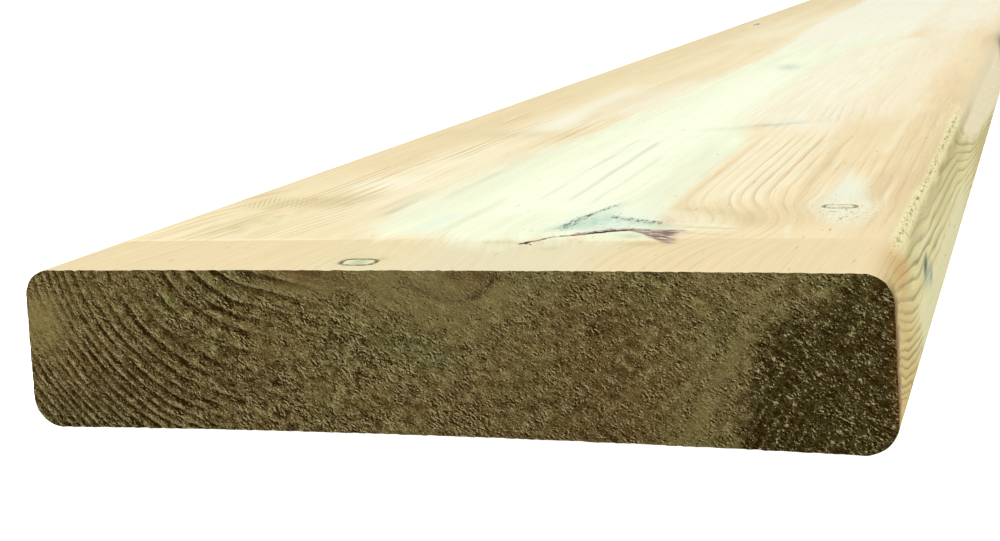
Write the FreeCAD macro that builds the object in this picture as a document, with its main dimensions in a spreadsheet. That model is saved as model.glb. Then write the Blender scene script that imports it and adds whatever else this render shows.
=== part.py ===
"""One softwood decking board: a single piece of planed timber, smooth on both faces.

The board is a rectangle in section with its four long arrises rounded over, cut square at both ends.
It lies flat along Y, centred on the origin, with its underside on the plane z = 0.
All sizes are in millimetres.
"""

import FreeCAD, Part
import math
import os

import Sketcher

NODE = "decking_board"

# The sheet's rows: alias, value and what the value is.
SIZES = (
    ("board_length", 1800, "length along the grain, end to end"),
    ("board_width", 144, "planed width, edge to edge"),
    ("board_thickness", 27, "planed thickness, underside to top face"),
    ("top_arris_radius", 4.5, "rounding of the two upper long arrises"),
    ("under_arris_radius", 5.5, "rounding of the two lower long arrises"),
)


def make_sheet(doc):
    """Writes the driving dimensions to a spreadsheet, one alias for each."""
    sheet = doc.addObject("Spreadsheet::Sheet", "Sizes")
    for row, (alias, value, meaning) in enumerate(SIZES, start=1):
        sheet.set(f"A{row}", alias)
        sheet.set(f"B{row}", str(value))
        sheet.set(f"C{row}", meaning)
        sheet.setAlias(f"B{row}", alias)
    doc.recompute()
    return sheet


def origin_plane(body, role):
    """The body's own origin plane with this role, such as XZ_Plane."""
    return next(feature for feature in body.Origin.OriginFeatures if feature.Role == role)


def corner_arc(centre_x, centre_z, radius, start_deg):
    """A quarter turn about a corner's centre, in the sketch's own plane."""
    circle = Part.Circle(FreeCAD.Vector(centre_x, centre_z, 0), FreeCAD.Vector(0, 0, 1), radius)
    return Part.ArcOfCircle(circle, math.radians(start_deg), math.radians(start_deg + 90))


def draw_section(body, sheet):
    """Sketches the section: two faces, two edges and the four rounded arrises between them."""
    sketch = body.newObject("Sketcher::SketchObject", "Section")
    sketch.AttachmentSupport = (origin_plane(body, "XZ_Plane"), [""])
    sketch.MapMode = "FlatFace"

    side = sheet.board_width / 2
    top = sheet.board_thickness
    over = sheet.top_arris_radius
    under = sheet.under_arris_radius
    outline = [
        (side, under, side, top - over),
        (side - over, top, over - side, top),
        (-side, top - over, -side, under),
        (under - side, 0, side - under, 0),
    ]
    right, upper, left, lower = (
        sketch.addGeometry(Part.LineSegment(FreeCAD.Vector(x0, z0, 0), FreeCAD.Vector(x1, z1, 0)))
        for x0, z0, x1, z1 in outline
    )
    upper_right = sketch.addGeometry(corner_arc(side - over, top - over, over, 0))
    upper_left = sketch.addGeometry(corner_arc(over - side, top - over, over, 90))
    lower_left = sketch.addGeometry(corner_arc(under - side, under, under, 180))
    lower_right = sketch.addGeometry(corner_arc(side - under, under, under, 270))

    start, end = 1, 2
    joins = [
        (right, upper_right),
        (upper_right, upper),
        (upper, upper_left),
        (upper_left, left),
        (left, lower_left),
        (lower_left, lower),
        (lower, lower_right),
        (lower_right, right),
    ]
    for before, after in joins:
        sketch.addConstraint(Sketcher.Constraint("Tangent", before, end, after, start))

    x_axis, z_axis = -1, -2
    sketch.addConstraint(Sketcher.Constraint("Horizontal", upper))
    sketch.addConstraint(Sketcher.Constraint("Vertical", right))
    sketch.addConstraint(Sketcher.Constraint("Vertical", left))
    sketch.addConstraint(Sketcher.Constraint("PointOnObject", lower, start, x_axis))
    sketch.addConstraint(Sketcher.Constraint("Symmetric", lower, start, lower, end, z_axis))
    sketch.addConstraint(Sketcher.Constraint("Equal", upper_right, upper_left))
    sketch.addConstraint(Sketcher.Constraint("Equal", lower_right, lower_left))

    driven = [
        ("DistanceX", (left, end, right, start), 2 * side, "Sizes.board_width"),
        ("DistanceY", (lower, start, upper, start), top, "Sizes.board_thickness"),
        ("Radius", (upper_right,), over, "Sizes.top_arris_radius"),
        ("Radius", (lower_right,), under, "Sizes.under_arris_radius"),
    ]
    for kind, geometry, value, cell in driven:
        number = sketch.addConstraint(Sketcher.Constraint(kind, *geometry, value))
        sketch.setExpression(f"Constraints[{number}]", cell)
    return sketch


def saw_to_length(body, sketch):
    """Runs the section along the grain, half each way from the middle, with both ends cut square."""
    pad = body.newObject("PartDesign::Pad", "SawnLength")
    pad.Profile = sketch
    pad.SideType = "Symmetric"
    pad.setExpression("Length", "Sizes.board_length")
    body.Tip = pad
    return pad


def make_board(doc, sheet):
    """The board: its section, run to length."""
    body = doc.addObject("PartDesign::Body", "DeckingBoard")
    body.Label = NODE
    sketch = draw_section(body, sheet)
    doc.recompute()
    saw_to_length(body, sketch)
    doc.recompute()
    return body


def check_model(doc, bodies):
    """Stops the build if any feature failed or any solid is empty or invalid."""
    for feature in doc.Objects:
        if {"Invalid", "Error"} & set(feature.State):
            raise RuntimeError(f"{feature.Label} failed: {feature.State}")
    for body in bodies:
        if body.Shape.isNull() or not body.Shape.isValid() or not body.Shape.Solids:
            raise RuntimeError(f"{body.Label} is not a valid solid")


def write_parts(bodies):
    """Writes each piece to parts/, named by its label."""
    os.makedirs("parts", exist_ok=True)
    for body in bodies:
        body.Shape.exportStep(os.path.join("parts", f"{body.Label}.step"))
        box = body.Shape.BoundBox
        print(
            f"{body.Label}: {box.XLength:.2f} x {box.YLength:.2f} x {box.ZLength:.2f} mm,"
            f" {body.Shape.Volume / 1e6:.4f} litres"
        )


def main():
    doc = FreeCAD.newDocument("DeckingBoard")
    sheet = make_sheet(doc)
    bodies = [make_board(doc, sheet)]
    check_model(doc, bodies)
    write_parts(bodies)


main()
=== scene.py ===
"""Decking board: one piece of planed, pressure treated softwood, lying on its underside.

The board is one closed mesh, worked out in millimetres as whole arrays: x across the board, s along it from
the photographed end, z up from the underside, and w round the section. Growth rings, stains and knots are
fields of those numbers, kept as attributes on the mesh, and the two materials turn them into wood.
"""

import math

import bpy
import numpy as np
from bpy.props import FloatProperty, FloatVectorProperty, PointerProperty
from mathutils import Matrix, Vector


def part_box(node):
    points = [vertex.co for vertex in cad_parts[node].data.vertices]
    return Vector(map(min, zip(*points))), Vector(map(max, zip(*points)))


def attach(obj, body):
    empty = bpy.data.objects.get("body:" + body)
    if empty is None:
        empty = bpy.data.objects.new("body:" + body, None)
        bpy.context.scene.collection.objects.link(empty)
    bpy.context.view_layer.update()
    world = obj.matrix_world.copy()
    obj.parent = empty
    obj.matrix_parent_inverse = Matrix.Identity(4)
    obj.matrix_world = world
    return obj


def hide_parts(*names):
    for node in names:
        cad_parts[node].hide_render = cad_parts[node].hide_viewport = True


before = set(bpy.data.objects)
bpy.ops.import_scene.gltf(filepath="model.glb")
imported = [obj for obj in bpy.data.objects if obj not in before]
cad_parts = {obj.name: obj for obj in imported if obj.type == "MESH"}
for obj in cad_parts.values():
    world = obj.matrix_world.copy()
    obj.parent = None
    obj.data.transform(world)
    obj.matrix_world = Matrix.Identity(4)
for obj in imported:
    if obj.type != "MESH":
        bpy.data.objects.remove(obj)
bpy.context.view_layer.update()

bl_info = {
    "name": "Decking Board",
    "version": (1, 0, 0),
    "blender": (4, 5, 0),
    "location": "View3D > Sidebar > Decking",
    "description": "Builds a planed softwood decking board with sawn ends, and a plain studio round it",
    "category": "Add Mesh",
}

NODE = "decking_board"
PIECE = "planed_decking_board"
MM = 0.001

LOW, HIGH = (np.array(corner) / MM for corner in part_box(NODE))
WIDTH, LENGTH, THICK = HIGH - LOW
HALF = WIDTH / 2
TOP_RADIUS = 4.5
UNDER_RADIUS = 5.5

LATTICE = np.random.default_rng(27).uniform(-1, 1, (128, 128, 128)).astype(np.float32)


def linear(hex_code):
    """An sRGB colour such as F0E0B8 as linear red, green and blue."""
    values = np.array([int(hex_code[i : i + 2], 16) / 255 for i in (0, 2, 4)])
    return tuple(np.where(values <= 0.04045, values / 12.92, ((values + 0.055) / 1.055) ** 2.4))


def ramp(value, low, high):
    """0 below low, 1 above high, and 3t² - 2t³ in between. With low over high it falls instead."""
    t = np.clip((value - low) / (high - low), 0, 1)
    return t * t * (3 - 2 * t)


def swell(value, centre, width):
    """A rounded hump of height 1: exp(-((value - centre) / width)²)."""
    return np.exp(-(((value - centre) / width) ** 2))


def noise(points, cell, seed=0):
    """Smooth noise from -1 to 1. Space is cut into cells of that size in mm, each cell corner has a random
    number, and a point takes the mean of its cell's eight corners, weighted by 3t² - 2t³ along each axis."""
    place = points / np.asarray(cell, float) + seed * 17.31
    corner = np.floor(place).astype(int)
    t = place - corner
    t = t * t * (3 - 2 * t)
    total = np.zeros(len(points))
    for step in np.ndindex(2, 2, 2):
        weight = np.prod(np.where(step, t, 1 - t), axis=1)
        i, j, k = ((corner + step) % 128).T
        total += weight * LATTICE[i, j, k]
    return total


def mix(colour, tint, share):
    """The colours (n, 3) with each moved towards the tint by its share."""
    return colour + (np.asarray(tint) - colour) * share[:, None]


# The section, anticlockwise as the camera sees it, from the middle of the underside.
QUARTER = math.pi / 2
RUNS = (
    ("line", (0, 0), (1, 0), HALF - UNDER_RADIUS),
    ("arc", (HALF - UNDER_RADIUS, UNDER_RADIUS), -QUARTER, UNDER_RADIUS),
    ("line", (HALF, UNDER_RADIUS), (0, 1), THICK - TOP_RADIUS - UNDER_RADIUS),
    ("arc", (HALF - TOP_RADIUS, THICK - TOP_RADIUS), 0, TOP_RADIUS),
    ("line", (HALF - TOP_RADIUS, THICK), (-1, 0), WIDTH - 2 * TOP_RADIUS),
    ("arc", (TOP_RADIUS - HALF, THICK - TOP_RADIUS), QUARTER, TOP_RADIUS),
    ("line", (-HALF, THICK - TOP_RADIUS), (0, -1), THICK - TOP_RADIUS - UNDER_RADIUS),
    ("arc", (UNDER_RADIUS - HALF, UNDER_RADIUS), 2 * QUARTER, UNDER_RADIUS),
    ("line", (UNDER_RADIUS - HALF, 0), (1, 0), HALF - UNDER_RADIUS),
)
RUN_LENGTHS = np.array([last * (QUARTER if kind == "arc" else 1) for kind, _, _, last in RUNS])
RUN_ENDS = np.cumsum(RUN_LENGTHS)
RUN_STARTS = RUN_ENDS - RUN_LENGTHS
GIRTH = RUN_ENDS[-1]


def section(w):
    """Point and outward normal at the distance w round the section: straight runs joined by quarter circles,
    where a point on a straight run is its start plus the distance along it, and a point on an arc is the
    centre plus the radius times (cos, sin) of the start angle plus distance over radius."""
    w = np.asarray(w, float) % GIRTH
    x, z, nx, nz = (np.empty_like(w) for _ in range(4))
    run_of = np.minimum(np.searchsorted(RUN_ENDS, w, side="right"), len(RUNS) - 1)
    for number, (kind, origin, heading, last) in enumerate(RUNS):
        here = run_of == number
        along = w[here] - RUN_STARTS[number]
        if kind == "line":
            x[here] = origin[0] + along * heading[0]
            z[here] = origin[1] + along * heading[1]
            nx[here], nz[here] = heading[1], -heading[0]
        else:
            angle = heading + along / last
            nx[here], nz[here] = np.cos(angle), np.sin(angle)
            x[here] = origin[0] + last * nx[here]
            z[here] = origin[1] + last * nz[here]
    return x, z, nx, nz


def steps(stretches):
    """Places along a line, from stretches of (start, end, spacing), each end left to the next stretch."""
    return np.concatenate(
        [np.linspace(a, b, max(int(round(abs(b - a) / gap)), 1), endpoint=False) for a, b, gap in stretches]
    )


def cup(x, z, shape):
    """The slight cup of the dried board. Across it, t is x over half the width. The top sinks by crown times t²
    and the underside rises by hollow times 1 - t², heights in between move in proportion, and the two edges
    lean outwards at the top. Nothing leaves the CAD section."""
    t = x / HALF
    sunk, raised = shape.crown * t**2, shape.hollow * (1 - t**2)
    share = z / THICK
    return x * (1 - shape.lean / HALF * (1 - share)), raised + share * (THICK - sunk - raised)


# Knots: place of the heart as x, s, z in mm, the way the branch points, its two radii where it comes out, and how
# dark its ring is. A branch that runs down through the board gets thicker on the way.
KNOTS = (
    ("end_knot", (-13.5, 6.3, 27), "down", 2.95, 2.4, 1.0),
    ("ring_knot", (57.4, 54.8, 27), "down", 2.9, 1.9, 0.78),
    ("arris_knot", (-58.0, 617.0, 27), "down", 1.6, 8.0, 0.9),
    ("far_knot", (-31.0, 1012.0, 27), "down", 6.0, 7.5, 0.9),
    ("far_pin_knot", (34.0, 1168.0, 27), "down", 3.2, 3.6, 0.8),
    ("left_edge_knot", (-72.0, 1263.0, 12), "left", 6.0, 8.0, 0.9),
    ("oval_knot", (11.0, 1391.0, 27), "down", 7.5, 10.0, 0.85),
    ("late_pin_knot", (-52.0, 1545.0, 27), "down", 3.0, 3.4, 0.7),
    ("back_knot", (46.0, 1688.0, 27), "down", 5.0, 6.0, 0.9),
)
THROUGH_GROWTH = 0.9

# The bark pocket is an arch on the top face through these places (x, s), and this is its middle.
BARK_ARCH = ((9.4, 21.5), (12.7, 26.3), (17.1, 28.4), (20.9, 30.9), (23.9, 32.5), (27.0, 32.5), (30.3, 31.4), (32.5, 27.6), (33.8, 24.3), (33.4, 22.0))
POCKET = (23.0, 38.0)

# Width of a growth ring across the top, in mm. The rings on the right end at these places across it, and widen
# towards the arris. The second row is where they would end if they were all one ring wide.
RING = 2.5
BROAD_RINGS = (-99, 30, 35, 37.2, 39.4, 42.4, 45.7, 49.1, 56, 99)
BROAD_PLACES = (-99, 29.8, 34.8, 37.3, 39.8, 42.3, 44.8, 47.3, 55, 98)


def knot_reach(points, knot):
    """Distance from a knot's heart in units of its radii, 1 at its ring, and the offsets across and along. The
    ring is a rounded rectangle: the cube root of the sum of the cubes of the two offsets."""
    name, (x, s, z), heading, across, along, _ = knot
    back = points[:, 1] - s
    if heading == "down":
        grown = 1 + THROUGH_GROWTH * np.clip((THICK - points[:, 2]) / THICK, 0, 1)
        side = points[:, 0] - x + 0.12 * np.clip(back, -4, 4)
    else:
        grown = 1
        side = points[:, 2] - z
        side = side + np.where((x - points[:, 0]) * np.sign(x) > across, 1e3, 0)
    ragged = 1 + 0.05 * noise(points, 2.4, seed=len(name))
    cubes = np.abs(side / (across * grown)) ** 3 + np.abs(back / (along * grown)) ** 3
    return np.cbrt(cubes) * ragged, side, back


def arch_distance(x, s):
    """Distance to the bark arch in mm, positive outside it and negative inside, and how far along it, 0 to 1."""
    place = np.stack([x, s], axis=1)
    bends = np.array(BARK_ARCH)
    spans = np.diff(bends, axis=0)
    lengths = np.linalg.norm(spans, axis=1)
    before = np.concatenate([[0], np.cumsum(lengths)])
    best = np.full(len(x), np.inf)
    along = np.zeros(len(x))
    outside = np.ones(len(x))
    for start, span, length, gone in zip(bends, spans, lengths, before):
        t = np.clip(((place - start) @ span) / length**2, 0, 1)
        away = place - start - t[:, None] * span
        gap = np.linalg.norm(away, axis=1)
        nearer = gap < best
        best = np.where(nearer, gap, best)
        along = np.where(nearer, (gone + t * length) / before[-1], along)
        outside = np.where(nearer, np.sign(span[0] * away[:, 1] - span[1] * away[:, 0] + 1e-9), outside)
    return best * np.where((along <= 0) | (along >= 1), 1, outside), along


def facing(nx, nz):
    """How much of a point's face is top, right, left and underside: the squares of its normal's parts."""
    return (
        np.clip(nz, 0, 1) ** 2,
        np.clip(nx, 0, 1) ** 2,
        np.clip(-nx, 0, 1) ** 2,
        np.clip(-nz, 0, 1) ** 2,
    )


def path(s, *places):
    """A line along the board that passes through the places (s, x)."""
    return np.interp(s, *zip(*places))


def band(value, low, high, soft):
    """1 from low to high, falling to 0 over twice the soft width at each side."""
    return ramp(value, low - soft, low + soft) * ramp(value, high + soft, high - soft)


def long_rings(points, nx, nz):
    """Number of growth rings counted across the long faces. On the top and underside it is x over the ring
    width, on the edges the way down them plus the slope of the grain along the board. Round each knot and the
    bark pocket, the distance from the middle shrinks by a hump, so the lines part and flow round it. Slow noise
    bends the lines and makes the rings uneven."""
    x, s, z = points.T
    top, right, left, under = facing(nx, nz)
    steep = np.interp(z, (3, 14, THICK), (1.0, 0.85, 0.12))
    dive = 9.5 * (1 - np.exp(-s / 25)) * steep + 0.015 * s + 0.05 * np.clip(s - 150, 0, 250)
    crinkle = 0.3 * np.abs((s / 2.6 + z / 8) % 2 - 1) * ramp(s, 16, 4)
    crinkle = crinkle + 0.5 * noise(points, (6, 13, 2.2), 10) * ramp(s, 110, 50)
    swirl = ramp(x, -20, -36) * ramp(s, 150, 70)
    calm = 1 - 0.75 * band(x, 31, 52, 4) * ramp(s, 300, 150)
    bends = 1.4 * noise(points, (60, 210, 60), 1) + 0.35 * noise(points, (9, 46, 30), 2)
    bends = calm * (bends + 0.8 * noise(points, (16, 60, 30), 8))
    on_top = np.interp(x, BROAD_RINGS, BROAD_PLACES) + bends + 2.6 * swirl * noise(points, (15, 30, 30), 7)
    on_top = on_top - 0.20 * np.clip(s - 26, 0, 32) * band(x, -66, -32, 7)
    on_top = on_top + 3.5 * ramp(s, 150, 240) * ramp(x, 10, 30) * ramp(x, 70, 50)
    on_right = HALF + 2.0 * ((THICK - z) - dive + crinkle + 0.35 * noise(points, (30, 30, 5), 3))
    on_left = -HALF - (THICK - z) + 5 * noise(points, (30, 420, 60), 4)
    on_under = 0.62 * x + 4 * noise(points, (50, 330, 60), 5)
    across = on_top * top + on_right * right + on_left * left + on_under * under
    for knot in KNOTS:
        heading, radius, along = knot[2:5]
        _, side, back = knot_reach(points, knot)
        pull = 0.9 * np.exp(-((side / (2.1 * radius)) ** 2) - (back / (4.2 * along)) ** 2)
        across = across - side * pull * (top + under if heading == "down" else right + left)
    side, back = x - POCKET[0], s - POCKET[1]
    across = across - side * 0.90 * np.exp(-((side / 21) ** 2) - (back / 18) ** 2) * top
    flat = np.stack([across, s * 0, s * 0], axis=1)
    uneven = 0.38 * calm * noise(flat, 5.5, 6) + 0.45 * noise(flat, 2.9, 9) * ramp(x, 12, -10) * top
    return across / RING + uneven


# Washes on the top face, in the order they lie on it: tint, how much of it, from and to across, from and to along,
# how softly it ends each way, and how far it drifts to the right per mm along.
WASHES = (
    ("dull", 0.70, (-90, -50), (92, 900), (5, 30), 0.0),
    # The next dull wash, on the rounded left arris, is painted shade where the arris turns away from the light.
    ("dull", 0.60, (-90, -67), (60, 900), (2, 30), 0.0),
    ("dull", 0.40, (-48, -37), (300, 480), (5, 60), 0.0),
    ("cream", 0.85, (-52, -35), (80, 97), (5, 5), -0.12),
    ("cream", 0.55, (-48, -30), (96, 152), (6, 14), 0.0),
    ("pale", 0.30, (-44, -30), (52, 100), (6, 10), 0.05),
    ("pale", 0.80, (-43, -28), (172, 285), (6, 20), 0.02),
    ("cream", 0.20, (-42, -26), (300, 430), (7, 40), 0.0),
    ("dull", 0.55, (-37, -25), (205, 345), (4, 30), 0.03),
    ("pale", 0.60, (-27, -14), (200, 300), (4, 25), 0.0),
    ("dull", 0.45, (-62, -45), (140, 270), (5, 25), 0.0),
    ("dull", 0.40, (43, 75), (96, 185), (7, 16), 0.0),
    ("dull", 0.45, (42, 75), (36, 54), (8, 6), 0.0),
    ("pale", 0.55, (27, 42), (158, 178), (5, 6), 0.0),
    ("cream", 0.50, (-47, -22), (480, 700), (8, 60), 0.0),
    ("dull", 0.45, (-46, -34), (600, 1100), (5, 80), 0.0),
    ("blush", 0.45, (-66, -50), (84, 110), (6, 8), 0.0),
    ("blush", 0.35, (-70, -20), (4, 15), (12, 5), 0.0),
    ("pale", 0.75, (12, 42), (176, 470), (5, 16), 0.0),
    ("pale", 0.45, (42, 58), (190, 700), (6, 25), 0.0),
    ("pale", 0.45, (26, 60), (520, 900), (8, 60), 0.0),
    ("tan_pink", 0.40, (43, 55), (36, 60), (4, 8), 0.0),
    ("tan_pink", 0.35, (61, 75), (-9, 40), (3, 8), 0.0),
    ("tan_pink", 0.80, (59, 75), (58, 92), (3, 10), 0.0),
    ("olive_wash_and_shade", 0.26, (-58, -50), (33, 54), (3, 8), 0.10),
    ("olive_wash_and_shade", 0.42, (-58, -42), (58, 72), (5, 5), 0.25),
)

# Thin lines along the top: tint, strength, x, from and to along, half width, and drift as above.
LINES = (
    ("sage", 0.60, 5.0, (62, 145), 0.55, -0.03),
    ("sage", 0.40, -1.0, (62, 150), 0.5, -0.03),
    ("sage", 0.35, 10.5, (58, 120), 0.6, -0.02),
    ("sage_dark", 0.50, -27.2, (50, 74), 0.45, 0.02),
    ("sage", 0.35, -31.0, (54, 76), 1.0, 0.06),
    ("sage", 0.30, -22.0, (70, 130), 0.8, -0.02),
    ("sage", 0.22, -9.0, (30, 66), 1.0, 0.02),
    ("olive_wash_and_shade", 0.60, -44.8, (26, 52), 0.5, -0.05),
    ("olive_wash_and_shade", 0.55, -54.5, (30, 54), 0.5, 0.30),
    ("olive_wash_and_shade", 0.50, -49.5, (28, 50), 0.5, 0.16),
    ("olive_wash_and_shade", 0.50, -39.0, (54, 70), 0.5, -0.22),
    ("olive_wash_and_shade", 0.35, -35.0, (4, 22), 0.5, 0.12),
    ("cream", 0.70, -50.5, (48, 64), 0.6, -0.20),
    ("cream", 0.60, -46.8, (30, 50), 0.9, 0.06),
    ("cream", 0.75, 29.8, (66, 150), 1.1, -0.01),
    ("cream", 0.75, 36.5, (60, 160), 7.0, 0.0),
    ("olive_wash_and_shade", 0.18, 27.6, (54, 100), 1.0, 0.0),
    ("cream", 0.75, 44.0, (75, 140), 0.9, 0.02),
    ("cream", 0.60, 51.8, (60, 130), 0.6, -0.03),
    ("tan_pink", 0.60, 49.3, (60, 132), 1.4, -0.02),
    ("tan_pink", 0.50, 62.5, (60, 190), 1.4, -0.02),
    ("cream", 0.55, 64.8, (50, 88), 0.4, -0.02),
    ("cream", 0.60, 52.6, (26, 44), 0.4, -0.12),
    ("cream", 0.50, 59.0, (120, 220), 1.2, 0.0),
)


def top_tint(points, colours):
    """Tint of the top face: beige sapwood on the left, cream and pinkish wood on the right, washes and lines over
    them, and how much of the long green white field in the middle is there, with its own tint."""
    x, s, _ = points.T
    blotch = noise(points, (9, 60, 20), 11)
    drift = noise(points, (26, 240, 40), 12)
    small = noise(points, (3.5, 14, 3.5), 13)
    wisp = noise(points, (2.2, 55, 9), 14)
    feather = noise(points, (1.6, 18, 9), 18)

    tint = np.tile(colours.sapwood, (len(x), 1))
    tint = mix(tint, colours.dull, np.clip(0.16 + 0.4 * wisp + 0.3 * feather, 0, 1) * ramp(s, 24, 26))
    pink = ramp(x + small + 0.4 * feather, path(s, (20, 27), (60, 25), (150, 24.5), (1800, 20)), path(s, (20, 34), (60, 28), (150, 29), (1800, 50)))
    tint = mix(tint, colours.blush, pink * (0.75 + 0.25 * blotch + 0.2 * feather) * ramp(s, 1000, 250))
    tan = ramp(x + 1.5 * wisp + feather, 56, 66) * (0.75 + 0.3 * wisp + 0.25 * feather) * ramp(s, 420, 120) * ramp(s, 26, 50)
    tint = mix(tint, colours.tan_pink, np.clip(tan, 0, 1))
    tint = mix(tint, colours.pale, ramp(x + 4 * drift, 22, 44) * ramp(s, 430, 700) * 0.75)
    for name, share, across, along, (soft, fade), slant in WASHES:
        place = x - slant * (s - along[0]) + 1.6 * wisp + 1.2 * feather
        patch = band(place, *across, soft) * band(s + 0.3 * fade * (small + blotch), *along, fade)
        tint = mix(tint, getattr(colours, name), share * patch * (1 + 0.35 * feather))
    blemish = swell(x, -36, 15) * swell(s + 0.15 * (x + 38) + small, 166, 8) * (0.7 + 0.5 * wisp + 0.3 * feather)
    tint = mix(tint, colours.olive_wash_and_shade, 0.42 * np.clip(blemish, 0, 1))

    # The green white field: palest in its middle, and pale wood further on.
    left = path(s, (20, -25), (60, -27), (110, -27), (170, -20), (240, -17), (400, -15), (480, -18), (620, -24), (1800, -25))
    right = path(s, (20, 29), (45, 27), (60, 26), (138, 25), (200, 15), (330, 13), (420, 17), (480, 33), (1800, 38))
    left_soft = path(s, (0, 6), (60, 6), (80, 10), (140, 9), (200, 5), (1800, 8))
    soft = path(s, (0, 3.0), (60, 2.2), (80, 1.2), (125, 2.0), (155, 5.0), (200, 6), (1800, 8))
    field = ramp(x, left - left_soft, left + left_soft) * ramp(x, right + soft, right - soft)
    start = path(x, (-30, 36), (-20, 31), (-8, 26), (2, 19), (10, 24), (20, 27))
    field = field * ramp(s - start + 4 * feather + 2 * small, -12, 10)
    mint = mix(np.tile(colours.mint, (len(x), 1)), colours.mint_shade, np.clip(0.5 - 0.5 * wisp - 0.3 * small, 0, 1))
    mint = mix(mint, colours.mint_grey, 0.60 * swell(x - 2 * wisp - 2 * feather, -23, 7) * ramp(s, 200, 150) * ramp(s, 24, 50))
    mint = mix(mint, colours.mint_grey, 0.8 * band(x + small, 17, 30, 3) * band(s, 56, 135, 14))
    mint = mix(mint, colours.cream, 0.5 * np.clip(feather + 0.6 * wisp, 0, 1))
    mint = mix(mint, colours.mint_light, 0.8 * swell(x, 2, 12) * ramp(s, 40, 60) * ramp(s, 480, 300))
    mint = mix(mint, colours.pale, ramp(s, 400, 540))
    for name, strength, where, along, half, slant in LINES:
        line = swell(x - slant * (s - along[0]) + 0.35 * small, where, half) * band(s + 5 * wisp, *along, 6)
        line = strength * line * np.clip(0.85 + 0.4 * feather, 0, 1.3)
        tint = mix(tint, getattr(colours, name), np.clip(line, 0, 1))
        mint = mix(mint, getattr(colours, name), np.clip(line, 0, 1))
    mint = mix(mint, colours.ice, 0.55 * swell(x, -13.4, 2.2) * band(s, 32, 50, 5))

    # The strip the planer took last is duller, and starts with a pale line on its left part.
    tint = mix(tint, colours.dull, 0.85 * ramp(s + 0.3 * small, 25.8, 24.4))
    tint = mix(tint, colours.cream, 0.8 * swell(s + 0.2 * small, 25.2, 0.6) * ramp(x, -22, -30))
    chatter = band(x + 2 * small, -66, -38, 5) * band(s + 0.10 * (x + 50) + 2 * small, 57, 70, 4)
    tint = mix(tint, colours.stone, 0.8 * band(x + small, -5, 26, 7) * ramp(s + small, 25.5, 23.5))
    tint = mix(tint, colours.olive_wash_and_shade, 0.22 * chatter)
    return tint, chatter, field, mint


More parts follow.
